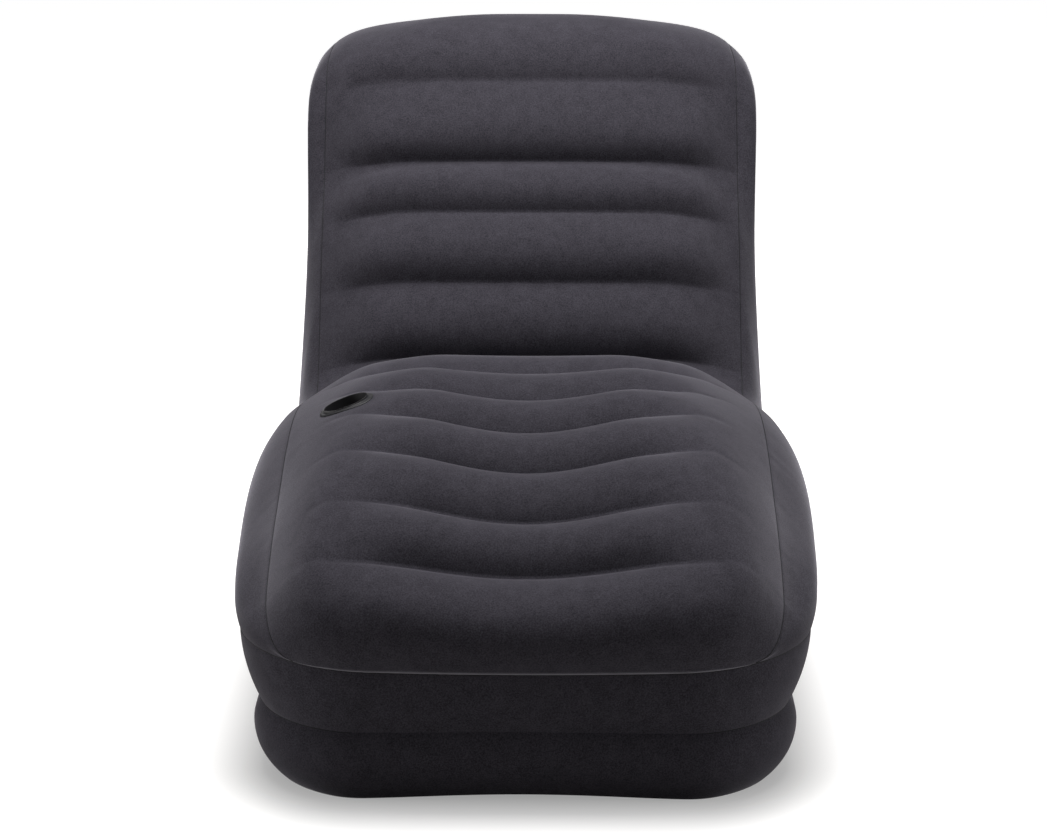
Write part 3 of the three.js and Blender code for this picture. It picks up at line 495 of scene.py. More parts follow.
side_leans = np.array([[0, 0.37], [7, 0.37], [10, 0.6], [12, 0.7], [15, 0.7], [17, 0.6], [20, 0.37]])
tuck_powers = np.array([[0, 3.2], [7, 3.4], [9, 4], [12, 5], [14, 8], [15, 8], [17, 6], [20, 5]])
front_corner_end = 1.75
rear_corner_start = 18 + 1 / 3
side_shares = graded(48, 0.75)


def shoulder_points(stations):
    """Where each line of a side panel meets the shoulder seam, on the right."""
    corner = np.clip(stations / front_corner_end, 0, 1)
    front_x = tip_across(shoulder, front_tip_angle + (math.pi / 2 - front_tip_angle) * corner)
    front_y = -end_reach(shoulder, front_x, "front")
    turn = np.clip((stations - rear_corner_start) / (last_station - rear_corner_start), 0, 1)
    rear_x = tip_across(shoulder, math.pi / 2 + (rear_tip_angle - math.pi / 2) * turn)
    rear_y = end_reach(shoulder, rear_x, "rear")
    share = np.clip(through(foot_line_shares, stations), 0, 1)
    start_y = -end_reach(shoulder, shoulder["half"], "front")
    end_y = end_reach(shoulder, shoulder["half"], "rear")
    straight_y = start_y + (end_y - start_y) * share
    in_front = stations <= front_corner_end
    in_rear = stations >= rear_corner_start
    x = np.where(in_front, front_x, np.where(in_rear, rear_x, shoulder["half"]))
    y = np.where(in_front, front_y, np.where(in_rear, rear_y, straight_y))
    return np.stack([x, y, np.full_like(x, shoulder_height)], axis=-1)


def unit(vectors):
    return vectors / np.maximum(np.linalg.norm(vectors, axis=-1, keepdims=True), 1e-12)


def level_out(points, level):
    """The level direction out of the chair, square to an outline."""
    straight = level["half"] - level["corner"]
    end = end_reach(level, level["half"], "front")
    x = np.sign(points[..., 0]) * np.maximum(np.abs(points[..., 0]) - straight, 0)
    y = np.sign(points[..., 1]) * np.maximum(np.abs(points[..., 1]) - end, 0)
    return unit(np.stack([x, y, np.zeros_like(x)], axis=-1))


side_stations = np.concatenate([top_stations, rear_stations[1:]])
low = shoulder_points(side_stations)
high = seam_points(side_stations)
tip_cut = 0.4
for line in (low, high):
    line[0] = line[0] + (line[1] - line[0]) * tip_cut
    line[-1] = line[-1] + (line[-2] - line[-1]) * tip_cut
low_out = level_out(low, shoulder)


def smoothed(directions, reach=0.5):
    """Directions along a seam, averaged over the neighbouring stations."""
    apart = (side_stations[:, None] - side_stations[None, :]) / reach
    return unit((np.exp(-apart ** 2) * np.gradient(side_stations)) @ unit(directions))


def side_points(side):
    """Points of a side panel, one line for each station, from the shoulder seam up."""
    t = side_shares[None, :]
    tuck = t ** through(tuck_powers, side_stations)[:, None]
    straight = through(side_leans, side_stations)[:, None]
    lean = straight * t + (1 - straight) * tuck
    crown = np.sin(math.pi * t ** through(puff_powers, side_stations)[:, None])
    puff = side_puff[side] * through(side_bulge_shares, side_stations)[:, None] * crown
    pull = side_fullness[side] * through(fullness_shares, np.minimum(side_stations, fullness_end))[:, None]
    pull = pull * np.linalg.norm(high - low, axis=1)[:, None]
    from_low = unit(foot_splay * low_out + [0, 0, 1]) * pull
    from_seam = [top_points[:, -2] - top_points[:, -1], rear_points[1:, -2] - rear_points[1:, -1]]
    into_high = smoothed(np.concatenate(from_seam)) * pull
    t = side_shares[None, :, None]
    points = low[:, None, :] + (high - low)[:, None, :] * t
    points[..., 0] = low[:, None, 0] + (high - low)[:, None, 0] * lean + puff
    full = (low[:, None] * (2 * t ** 3 - 3 * t ** 2 + 1) + from_low[:, None] * (t ** 3 - 2 * t ** 2 + t)
            + high[:, None] * (3 * t ** 2 - 2 * t ** 3) + into_high[:, None] * (t ** 3 - t ** 2))
    points = points + (full - points) * eased((round_end - side_stations) / round_run)[:, None, None]
    if side == "left":
        points[..., 0] *= -1
    return points


side_sheets = {side: side_points(side) for side in ("right", "left")}

# Seams and inner air. Where a skin is welded its edge is drawn in and gathers a little, and the air that fills the
# chair blows the lounging panel and the rear panel out between their creases.
pucker = 0.0006
pucker_reach = 0.03
pucker_start = 0.006
pucker_wave = 0.042
side_edge = {}
end_run = 0.5
end_fade = np.clip(side_stations / end_run, 0, 1) * np.clip((last_station - side_stations) / end_run, 0, 1)
for side, column in (("right", -1), ("left", 0)):
    normals = sheet_normals(side_sheets[side])
    panel_edge = np.concatenate([top_normals[:, column], rear_normals[1:, column]])
    inward = -unit(unit(panel_edge) + unit(normals[:, -1]))
    side_edge[side] = inward * seam_press * end_fade[:, None]
seam_run = np.concatenate([[0], np.cumsum(np.linalg.norm(np.diff(high, axis=0), axis=1))])


def ripples(along, wave, seed):
    """A gentle uneven wave along a seam, between -1 and 1."""
    dice = np.random.default_rng(seed)
    total = np.zeros_like(along)
    for _ in range(6):
        total += np.sin(2 * math.pi * along / (wave * dice.uniform(0.6, 1.7)) + dice.uniform(0, 2 * math.pi))
    return total / 6


def pressed_in(points, distance, inward):
    """A sheet with its edge drawn in along a weld, to leave a narrow groove."""
    return points + inward * np.exp(-(distance / seam_reach) ** 2)[..., None]


def puckered(points, normals, distance, along, seed):
    """Small gathers of the sheet beside a weld."""
    strength = np.exp(-distance / pucker_reach) - np.exp(-distance / pucker_start)
    waves = ripples(along, pucker_wave, seed)
    return points + normals * (pucker * strength * waves)[..., None]


def run_along(points, axis):
    """How far each point lies from the first one along its row or its column."""
    steps = np.linalg.norm(np.diff(points, axis=axis), axis=-1)
    return np.insert(np.cumsum(steps, axis=axis), 0, 0, axis=axis)


def finish_panel(points, normals, stations, first_row):
    """A panel with its puckers and its edges drawn in along all its welds."""
    seam_x = np.abs(points[:, -1, 0])[:, None]
    rows = slice(first_row, first_row + len(stations))
    for sign, side, column in ((1, "right", -1), (-1, "left", 0)):
        distance = np.maximum(seam_x - sign * points[..., 0], 0)
        along = np.broadcast_to(seam_run[rows, None], distance.shape)
        points = puckered(points, normals, distance, along, 3 + column)
        points = pressed_in(points, distance, side_edge[side][rows, None, :])
    run = run_along(points, 0)
    for row, distance in ((0, run), (-1, run[-1] - run)):
        if stations[row] in (0, last_station):
            inward = -level_out(points[row], shoulder) * seam_press
        else:
            both = unit(top_normals[-1] + rear_normals[0])
            inward = -both * (seam_press * (1 - np.abs(across_shares) ** 12))[:, None]
        points = pressed_in(points, distance, inward[None])
    return points


def finish_side(side, seed):
    """A side panel with its puckers and its edges drawn in along both its welds."""
    points = side_sheets[side]
    run = run_along(points, 1)
    from_seam = run[:, -1:] - run
    along = np.broadcast_to(seam_run[:, None], run.shape)
    points = puckered(points, sheet_normals(points), from_seam, along, seed)
    points = pressed_in(points, from_seam, side_edge[side][:, None, :])
    inward = -level_out(points[:, 0], shoulder) * seam_press
    return pressed_in(points, run, inward[:, None, :])


top_points = finish_panel(top_points, top_normals, top_stations, 0)
rear_points = finish_panel(rear_points, rear_normals, rear_stations, len(top_stations) - 1)


probe_height = 0.03
probe_length = 0.08


class Seat:
    """A place on a sheet with the outward direction there, for a moulded part that is welded in."""

    def __init__(self, station, share, points):
        steps = np.array([-0.05, 0, 0.05])
        patch = panel_points(station + steps, share + steps, (station + steps).astype(int))
        self.normal = Vector(np.cross(patch[1, 2] - patch[1, 0], patch[2, 1] - patch[0, 1])).normalized()
        self.origin = Vector(patch[1, 1])
        turn = Vector((0, 0, 1)).rotation_difference(self.normal).to_matrix()
        self.frame = Matrix.Translation(self.origin) @ turn.to_4x4()
        corners = [Vector(p) for p in points.reshape(-1, 3)]
        self.sheet = BVHTree.FromPolygons(corners, quads_of(*points.shape[:2]).tolist())

    def height_at(self, x, y):
        """How high the sheet lies over the seat's own level plane."""
        start = self.frame @ Vector((x, y, probe_height))
        hit = self.sheet.ray_cast(start, -self.normal, probe_length)[0]
        return (self.frame.inverted() @ hit).z if hit else 0.0


cup_seat = Seat(4.5, -0.757, top_points)
valve_seat = Seat(19.5, -0.6, rear_points)
cup_hole = 0.0375
valve_hole = 0.0222


def panel_mesh(name, points, seat, radius):
    """The mesh of a panel, with a round hole in it where a moulded part goes through."""
    quads = quads_of(*points.shape[:2])
    flat = points.reshape(-1, 3).copy()
    from_seat = flat - np.array(seat.origin)
    away = from_seat - np.outer(from_seat @ np.array(seat.normal), np.array(seat.normal))
    near = np.linalg.norm(from_seat, axis=1) < 3 * radius
    inside = near & (np.linalg.norm(away, axis=1) < radius)
    kept = quads[~inside[quads].all(axis=1)]
    used = np.unique(kept)
    rim = np.intersect1d(used, np.flatnonzero(inside))
    out = away[rim] / np.linalg.norm(away[rim], axis=1, keepdims=True) * radius
    flat[rim] += out - away[rim]
    renumber = np.zeros(len(flat), int)
    renumber[used] = np.arange(len(used))
    return quad_mesh(name, flat[used], renumber[kept])


air_frames = 20
most_move = 0.005
held_round_seat = 0.055
cloth_settings = {
    "quality": 5, "mass": 0.3, "tension_stiffness": 30, "compression_stiffness": 30, "shear_stiffness": 15,
    "bending_stiffness": 3, "use_pressure": True, "uniform_pressure_force": 4, "vertex_group_mass": "held",
}


def coordinates(mesh):
    flat = np.empty(len(mesh.vertices) * 3)
    mesh.vertices.foreach_get("co", flat)
    return flat.reshape(-1, 3)


def blown(mesh, seat, creases):
    """Lets the air press on a sheet in a short cloth simulation. Its edges, its creases and the place of a moulded
    part are held, and no point moves further than most_move."""
    start = coordinates(mesh)
    lines = KDTree(len(creases))
    for k, point in enumerate(creases):
        lines.insert(point, k)
    lines.balance()
    body = bmesh.new()
    body.from_mesh(mesh)
    held = [
        corner.index for corner in body.verts
        if corner.is_boundary or (corner.co - seat.origin).length < held_round_seat or lines.find(corner.co)[2] < 1e-5
    ]
    body.free()
    sheet = new_object("blown_sheet", mesh)
    sheet.vertex_groups.new(name="held").add(held, 1, "REPLACE")
    air = sheet.modifiers.new("air", "CLOTH").settings
    for name, value in cloth_settings.items():
        setattr(air, name, value)
    air.effector_weights.gravity = 0
    for moment in range(1, air_frames + 1):
        bpy.context.scene.frame_set(moment)
    seen = sheet.evaluated_get(bpy.context.evaluated_depsgraph_get())
    move = coordinates(seen.data) - start
    size = np.linalg.norm(move, axis=1, keepdims=True)
    move *= np.tanh(size / most_move) * most_move / np.maximum(size, 1e-9)
    bpy.context.scene.frame_set(1)
    sheet.modifiers.clear()
    sheet.vertex_groups.clear()
    bpy.data.objects.remove(sheet)
    mesh.vertices.foreach_set("co", (start + move).ravel())
    mesh.update()
    return mesh


creased = np.flatnonzero(np.abs(across_shares) <= crease_reach)


def crease_points(points, stations, numbers):
    """Points along the creases of a panel, where webs hold it."""
    rows = [int(np.argmin(np.abs(stations - number))) for number in numbers]
    return points[rows][:, creased].reshape(-1, 3)


top_creases = crease_points(top_points, top_stations, range(1, panel_cells))
rear_creases = crease_points(rear_points, rear_stations, range(panel_cells + 1, last_station))
top_mesh = blown(panel_mesh("lounging_panel_skin", top_points, cup_seat, cup_hole), cup_seat, top_creases)
rear_mesh = blown(panel_mesh("rear_panel_skin", rear_points, valve_seat, valve_hole), valve_seat, rear_creases)
add_skin("lounging_panel", top_mesh, soft_below=shoulder_height + 0.0005)
add_skin("rear_panel", rear_mesh)
for side, seed in (("right", 11), ("left", 12)):
    name = "side_panel_" + side
    add_skin(name, sheet_mesh(name + "_skin", finish_side(side, seed)))

# Inner webs and waist deck. Sheets of grey vinyl film with punched air holes. The leg and hip webs run from a crease
# of the lounging panel down to the deck, the back webs run across to the rear panel, and the base webs stand below.
film = 0.0006
film_gap = 0.0004
air_hole = 0.05
deck_hole = 0.06
film_crease = math.radians(40)
hole_points = 40
hole_spread = 0.42
deck_hole_step = 0.36 * half_length
base_web_places = (-0.72, -0.36, 0, 0.36, 0.72)
base_web_inset = 0.062
punch_length = 0.08


def new_tree(name, base, sockets):
    """A node tree that works on a geometry, with a socket for each value that it takes."""
    tree = bpy.data.node_groups.new(name, "GeometryNodeTree")
    for socket, kind in ((base, "Geometry"), *sockets):
        tree.interface.new_socket(socket, in_out="INPUT", socket_type="NodeSocket" + kind)
    tree.interface.new_socket("Geometry", in_out="OUTPUT", socket_type="NodeSocketGeometry")
    return tree, tree.nodes.new("NodeGroupInput").outputs


def coated(tree, geometry, material):
    """Ends a node tree: its result is made plain and coated, and goes out."""
    whole = add_node(tree, "GeometryNodeRealizeInstances", {"Geometry": geometry})
    coat = add_node(tree, "GeometryNodeSetMaterial", {"Geometry": whole.outputs["Geometry"], "Material": material})
    add_node(tree, "NodeGroupOutput", {"Geometry": coat.outputs["Geometry"]})
    return tree


def air_hole_tree():
    """Punches a row of round holes through a sheet of film."""
    tree, given = new_tree("air_holes", "Sheet", (
        ("Holes", "Int"), ("Diameter", "Float"), ("First hole", "Vector"), ("Step", "Vector"), ("Turn", "Vector"),
        ("Film", "Material")))
    halved = add_node(tree, "ShaderNodeMath", {0: given["Diameter"], 1: 0.5}, operation="MULTIPLY")
    punch = add_node(tree, "GeometryNodeMeshCylinder", {
        "Vertices": hole_points, "Depth": punch_length, "Radius": halved.outputs[0]})
    row = add_node(tree, "GeometryNodeMeshLine", {
        "Count": given["Holes"], "Start Location": given["First hole"], "Offset": given["Step"]})
    punches = add_node(tree, "GeometryNodeInstanceOnPoints", {
        "Points": row.outputs["Mesh"], "Instance": punch.outputs["Mesh"], "Rotation": given["Turn"]})
    real = add_node(tree, "GeometryNodeRealizeInstances", {"Geometry": punches.outputs["Instances"]})
    cut = add_node(tree, "GeometryNodeMeshBoolean", {"Mesh 1": given["Sheet"], "Mesh 2": real.outputs["Geometry"]},
                   operation="DIFFERENCE", solver="EXACT")
    return coated(tree, cut.outputs["Mesh"], given["Film"])


def run_tree(piece, tree, **values):
    """Runs a node tree on a piece and keeps the result as its plain mesh."""
    step = piece.modifiers.new(tree.name, "NODES")
    step.node_group = tree
    sockets = {item.name: item.identifier for item in tree.interface.items_tree if item.in_out == "INPUT"}
    for name, value in values.items():
        step[sockets[name.replace("_", " ")]] = value
    bpy.context.view_layer.update()
    seen = piece.evaluated_get(bpy.context.evaluated_depsgraph_get())
    mesh = bpy.data.meshes.new_from_object(seen)
    mesh.name = piece.name
    piece.modifiers.clear()
    old = piece.data
    piece.data = mesh
    bpy.data.meshes.remove(old)


punched = air_hole_tree()
film_vinyl = vinyl_material("inner_film", (0.22, 0.225, 0.245), (0.28, 0.285, 0.305), 0.42, 500)


def fill_middle(mesh, count):
    """Closes the innermost ring of a round sheet with one face, turned the same way as its neighbours."""
    body = bmesh.new()
    body.from_mesh(mesh)
    body.verts.ensure_lookup_table()
    middle = body.faces.new(body.verts[:count])
    middle.smooth = True
    bmesh.ops.recalc_face_normals(body, faces=body.faces)
    body.to_mesh(mesh)
    body.free()


def film_sheet(name, node, mesh, holes, diameter, first, step, turn):
    """A sheet of film with its row of air holes."""
    piece = add_piece(name, mesh, film_vinyl, film)
    piece.modifiers["wall"].offset = 0
    run_tree(piece, punched, Holes=holes, Diameter=diameter, First_hole=first, Step=step, Turn=turn, Film=film_vinyl)
    piece.data.set_sharp_from_angle(angle=film_crease)
    fit(piece, "root", node)


def web_between(kind, number, top_line, bottom_line):
    """A web from one line of points to another, with two air holes."""
    drop = np.linspace(0, 1, 9)[:, None, None]
    points = top_line[None] * (1 - drop) + bottom_line[None] * drop
    middle = len(top_line) // 2
    centre = (top_line[middle] + bottom_line[middle]) / 2
    fall = bottom_line[middle] - top_line[middle]
    tilt = math.atan2(-fall[2], fall[1])
    spread = hole_spread * half_panel
    name = f"{kind}_web_sheet_{number}"
    film_sheet(name, f"{kind}_web_{number}", sheet_mesh(name, points), 2, air_hole,
               (-spread, centre[1], centre[2]), (2 * spread, 0, 0), (-tilt, 0, 0))


webbed = creased[::2]
panel_normals = sheet_normals(top_points)
back_normals = sheet_normals(rear_points)
seat_depth = skin + film_gap
deck_top = waist_height + film / 2
for station in range(1, panel_cells):
    row = int(np.argmin(np.abs(top_stations - station)))
    top_line = top_points[row, webbed] - panel_normals[row, webbed] * seat_depth
    if station <= 10:
        bottom_line = top_line.copy()
        bottom_line[:, 1] = top_line[len(top_line) // 2, 1]
        bottom_line[:, 2] = deck_top + film_gap
        group, number = ("leg", station) if station <= 7 else ("hip", station - 7)
    else:
        row = int(np.argmin(np.abs(rear_stations - (last_station - (station - 10)))))
        bottom_line = rear_points[row, webbed] - back_normals[row, webbed] * seat_depth
        group, number = "back", station - 10
    web_between(group, number, top_line, bottom_line)

base_reach = foot["half"] - base_web_inset
for number, share in enumerate(base_web_places, 1):
    x = np.linspace(-base_reach, base_reach, 31)
    top_line = np.stack([x, np.full_like(x, share * half_length), np.full_like(x, deck_top - film - film_gap)], axis=-1)
    bottom_line = top_line.copy()
    bottom_line[:, 2] = lifted(x, top_line[:, 1], skin + film_gap)
    web_between("base", number, top_line, bottom_line)

deck_rim = middle_points[0, ::2] * [1, 1, 0] + [0, 0, waist_height]
deck_rim[:, :2] *= 1 - (skin + 2 * film_gap) / np.linalg.norm(deck_rim[:, :2], axis=1, keepdims=True)
deck_points = deck_rim[None] * (np.linspace(0.04, 1, 13)[:, None, None] * [1, 1, 0] + [0, 0, 1])
deck_mesh = sheet_mesh("waist_deck_sheet", deck_points, closed=True)
fill_middle(deck_mesh, len(deck_rim))
film_sheet("waist_deck_sheet", "waist_deck", deck_mesh, 4, deck_hole,
           (0, -1.5 * deck_hole_step, waist_height), (0, deck_hole_step, 0), (0, 0, 0.07))

# Welds. Where two sheets meet, their edges are pressed together hot, which leaves a narrow bare bead along each
# seam: round the floor, the waist and the shoulders, up both side seams and across the top of the back.
bead_radius = 0.0008
bead_out = -0.0001
bead_spacing = 0.006
bead_thinnest, bead_thickest = 0.88, 1.12  # as shares of the radius


def weld_tree():
    """Runs a bead along a line, with a slightly uneven thickness."""
    tree, given = new_tree("weld_bead", "Line", (
        ("Radius", "Float"), ("Spacing", "Float"), ("Seed", "Int"), ("Bead", "Material")))
    line = add_node(tree, "GeometryNodeMeshToCurve", {"Mesh": given["Line"]})
    even = add_node(tree, "GeometryNodeResampleCurve",
                    {"Curve": line.outputs["Curve"], "Length": given["Spacing"]}, mode="LENGTH")
    uneven = add_node(tree, "FunctionNodeRandomValue", {2: bead_thinnest, 3: bead_thickest, "Seed": given["Seed"]})
    thick = add_node(tree, "GeometryNodeSetCurveRadius", {"Curve": even.outputs["Curve"], "Radius": uneven.outputs[1]})
    section = add_node(tree, "GeometryNodeCurvePrimitiveCircle", {"Resolution": 8, "Radius": given["Radius"]})
    thickness = add_node(tree, "GeometryNodeInputRadius", {})
    swept = add_node(tree, "GeometryNodeCurveToMesh", {
        "Curve": thick.outputs["Curve"], "Profile Curve": section.outputs["Curve"],
        "Scale": thickness.outputs["Radius"], "Fill Caps": True})
    smooth = add_node(tree, "GeometryNodeSetShadeSmooth", {"Geometry": swept.outputs["Mesh"]})
    return coated(tree, smooth.outputs["Geometry"], given["Bead"])


weld_bead = weld_tree()
bead_vinyl = vinyl_material("bead_vinyl", (0.010, 0.0096, 0.0112), (0.016, 0.0154, 0.0176), 0.6, specular=0.2)


def weld(name, line, closed, seed):
    """A bead along a line of points."""
    mesh = bpy.data.meshes.new(name)
    count = len(line)
    edges = [(k, k + 1) for k in range(count - 1)] + ([(count - 1, 0)] if closed else [])
    mesh.from_pydata(line.tolist(), edges, [])
    bead = new_object(name, mesh)
    run_tree(bead, weld_bead, Radius=bead_radius, Spacing=bead_spacing, Seed=seed, Bead=bead_vinyl)
    fit(bead, "root")


rings = (("floor", base_points[0] + [0, 0, bead_radius], foot), ("waist", middle_points[0], waist),
         ("shoulder", middle_points[-1], shoulder))
for seed, (name, line, level) in enumerate(rings, 1):
    weld(name + "_weld", line + level_out(line, level) * bead_out, True, seed)
for side, column in (("right", -1), ("left", 0)):
    edge = np.concatenate([top_points[:, column], rear_points[1:, column]])
    out = -unit(side_edge[side] + 1e-9)
    weld("side_weld_" + side, (edge + out * bead_out)[2:-2], False, 4 + column)
top_out = unit(top_normals[-1] + rear_normals[0])
weld("top_weld", (top_points[-1] + top_out * bead_out)[2:-2], False, 6)

# Cup holder. A moulded vinyl well that hangs in the left ridge of the leg rest. Its flange follows the panel and is
# welded on it, and a rounded lip stands round the mouth.
cup_bore = 0.07
cup_wall = 0.0012
cup_depth = 0.082
cup_lip = 0.0024
flange = 0.008
flange_thick = 0.0015
flange_gap = 0.0003
turn_steps = 96
fillet_points = 6
moulded_crease = math.radians(42)
same_place = 1e-7
flange_low = flange_gap
flange_high = flange_gap + flange_thick


def rounded(corners, loop=False):
    """A profile through (radius, height, fillet) corners, with each fillet drawn as a short curve."""
    out = []
    count = len(corners)
    for k, (r, z, *fillet) in enumerate(corners):
        here = np.array([r, z])
        if not fillet or (not loop and k in (0, count - 1)):
            out.append((r, z, False))
            continue
        before = np.array(corners[k - 1][:2]) - here
        after = np.array(corners[(k + 1) % count][:2]) - here
        start = here + before / np.linalg.norm(before) * fillet[0]
        end = here + after / np.linalg.norm(after) * fillet[0]
        for t in np.linspace(0, 1, fillet_points):
            place = start * (1 - t) ** 2 + here * 2 * t * (1 - t) + end * t ** 2
            out.append((place[0], place[1], False))
    return out


def flange_from(inner, outer, top):
    """The profile of a flange that follows the sheet: its top, its soft outer edge and its underside."""
    rows = [(inner + out, flange_high + up) for out, up in top]
    rows += [(outer - 0.0008, flange_high - 0.0001), (outer - 0.0001, flange_high - 0.0006),
             (outer - 0.0002, flange_low + 0.0002), (outer - 0.0009, flange_low),
             (inner + 0.004, flange_low), (inner, flange_low)]
    return [(r, z, True) for r, z in rows]


def turned_body(seat, profile, loop=False):
    """A turned body on a seat, from (radius, height, lies on the sheet) rows. Rows that lie on it follow its height."""
    body = bmesh.new()
    angles = np.linspace(0, 2 * math.pi, turn_steps, endpoint=False)
    rows = []
    for r, z, lying in profile:
        row = []
        for angle in angles:
            x, y = r * math.cos(angle), r * math.sin(angle)
            lift = seat.height_at(x, y) if lying else 0
            row.append(body.verts.new((x, y, z + lift)))
        rows.append(row)
    pairs = list(zip(rows, rows[1:])) + ([(rows[-1], rows[0])] if loop else [])
    for low_row, high_row in pairs:
        for k in range(turn_steps):
            j = (k + 1) % turn_steps
            body.faces.new((low_row[k], low_row[j], high_row[j], high_row[k]))
    return body


def finished_body(name, bodies, seat, material, rides, node):
    """Joins closed bodies into one piece on its seat, with sharp edges kept."""
    mesh = bpy.data.meshes.new(name)
    whole = bmesh.new()
    for body in bodies:
        bmesh.ops.remove_doubles(body, verts=body.verts, dist=same_place)
        bmesh.ops.recalc_face_normals(body, faces=body.faces)
        if body.calc_volume(signed=True) < 0:
            bmesh.ops.reverse_faces(body, faces=body.faces)
        part = bpy.data.meshes.new("part")
        body.to_mesh(part)
        body.free()
        whole.from_mesh(part)
        bpy.data.meshes.remove(part)
    whole.transform(seat.frame)
    whole.to_mesh(mesh)
    whole.free()
    mesh.shade_smooth()
    mesh.set_sharp_from_angle(angle=moulded_crease)
    fit(add_piece(name, mesh, material, 0), rides, node)


cup_outer = cup_bore / 2 + cup_wall
cup_floor = cup_wall - cup_depth
cup_profile = rounded([
    (0, cup_floor), (0.012, cup_floor), (0.024, cup_floor), (cup_bore / 2 - 0.0006, cup_floor, 0.005),
    (cup_bore / 2, -0.03), (cup_bore / 2, cup_lip, 0.0005), (cup_outer, cup_lip, 0.0005),
])
cup_profile += flange_from(cup_outer, cup_outer + flange, [
    (0.0001, 0.0004), (0.0005, 0), (0.003, 0), (0.0055, 0),
])
cup_profile += rounded([(cup_outer, -0.012), (cup_outer, -cup_depth, 0.005), (0, -cup_depth)])
cup_vinyl = vinyl_material("cup_vinyl", (0.009, 0.0085, 0.01), (0.015, 0.0145, 0.0165), 0.5)
finished_body("cup_holder_well", [turned_body(cup_seat, cup_profile)], cup_seat, cup_vinyl,
              "root", "cup_holder")

# Air valve. A ring of moulded vinyl is welded in the lowest cell of the rear panel. A wide plug stops it and is
# pulled for letting the air out. A small cap closes the nozzle in the plug, and a check flap lies under the nozzle.
valve_bore = 0.0183
valve_wall = 0.0022
valve_inside = 0.015
valve_collar = 0.003
valve_flange = 0.0095
bore_taper = 0.2
plug_depth = 0.007
plug_low = valve_collar + flange_gap
plug_high = plug_low + 0.002
plug_radius = 0.023
plug_hinge = 0.026
nozzle = 0.0068
nozzle_mouth = 0.0086
cap_depth = 0.0057
cap_low = plug_high + flange_gap
cap_high = cap_low + 0.0014
cap_radius = 0.0105
cap_hinge = 0.013
flap_high = -plug_depth - flange_gap
flap_low = flap_high - 0.0008
flap_radius = 0.0085
flap_hinge = 0.0096
strap = 0.008
lug = 0.0036
hinge_gap = flange_gap / 2


def bore_at(z):
    """The radius of the tapered bore at a height."""
    return valve_bore - bore_taper * (valve_collar - z)


def tab(x_low, x_high, z_low, z_high, breadth=strap, round_by=0.00035):
    """A small block with softened edges, for a strap, a lug or a grip."""
    body = bmesh.new()
    bmesh.ops.create_cube(body, size=1)
    for corner in body.verts:
        corner.co = Vector((
            x_low + (x_high - x_low) * (corner.co.x + 0.5),
            breadth * corner.co.y,
            z_low + (z_high - z_low) * (corner.co.z + 0.5),
        ))
    bmesh.ops.bevel(body, geom=body.edges[:], offset=round_by, segments=3, profile=0.5, affect="EDGES")
    return body


def rib_tree():
    """Sets grip ribs side by side round a circle."""
    tree, given = new_tree("grip_ribs", "Rib", (
        ("Ribs", "Int"), ("Circle", "Float"), ("Height", "Float"), ("Vinyl", "Material")))
    circle = add_node(tree, "GeometryNodeMeshCircle", {"Vertices": given["Ribs"], "Radius": given["Circle"]})
    up = add_node(tree, "ShaderNodeCombineXYZ", {"Z": given["Height"]})
    raised = add_node(tree, "GeometryNodeSetPosition", {"Geometry": circle.outputs["Mesh"], "Offset": up.outputs[0]})
    place = add_node(tree, "GeometryNodeInputPosition", {})
    level = add_node(tree, "ShaderNodeVectorMath", {0: place.outputs["Position"], 1: (1, 1, 0)}, operation="MULTIPLY")
    facing = add_node(tree, "FunctionNodeAlignRotationToVector", {"Vector": level.outputs[0]}, axis="X")
    ribs = add_node(tree, "GeometryNodeInstanceOnPoints", {
        "Points": raised.outputs["Geometry"], "Instance": given["Rib"], "Rotation": facing.outputs["Rotation"]})
    return coated(tree, ribs.outputs["Instances"], given["Vinyl"])


moulded_vinyl = vinyl_material("moulded_vinyl", (0.0095, 0.009, 0.0105), (0.0155, 0.015, 0.017), 0.36)
grip_ribs = rib_tree()


def ribs_round(count, circle, height, long, broad, tall):
    """A ring of closed ribs, to join to the part that they stand on."""
    one = tab(-long / 2, long / 2, -tall / 2, tall / 2, broad, min(broad, tall) * 0.3)
    mesh = bpy.data.meshes.new("grip_rib")
    one.to_mesh(mesh)
    one.free()
    holder = new_object("grip_rib", mesh)
    run_tree(holder, grip_ribs, Ribs=count, Circle=circle, Height=height, Vinyl=moulded_vinyl)
    body = bmesh.new()
    body.from_mesh(holder.data)
    mesh = holder.data
    bpy.data.objects.remove(holder)
    bpy.data.meshes.remove(mesh)
    return body


def valve_part(name, bodies, rides, node):
    finished_body(name, bodies, valve_seat, moulded_vinyl, rides, node)


barrel_outer = valve_bore + valve_wall
seat_profile = rounded([(bore_at(-valve_inside), -valve_inside), (bore_at(valve_collar), valve_collar)])
seat_profile += rounded([
    (bore_at(valve_collar) + 0.0004, valve_collar), (barrel_outer, valve_collar, 0.0005),
    (barrel_outer, flange_high + 0.0006),
])
seat_profile += flange_from(barrel_outer, barrel_outer + valve_flange - 0.0001, [
    (0.0002, 0.0003), (0.0007, 0), (0.0030, 0), (0.0034, 0.0004), (0.0042, 0.0004), (0.0046, 0),
])
seat_profile += [(barrel_outer, -valve_inside, False)]
seat_lug = tab(plug_hinge + hinge_gap, plug_hinge + lug, flange_high - 0.0012, plug_high)
valve_part("valve_seat_ring", [turned_body(valve_seat, seat_profile, loop=True), seat_lug], "root", "valve_seat")

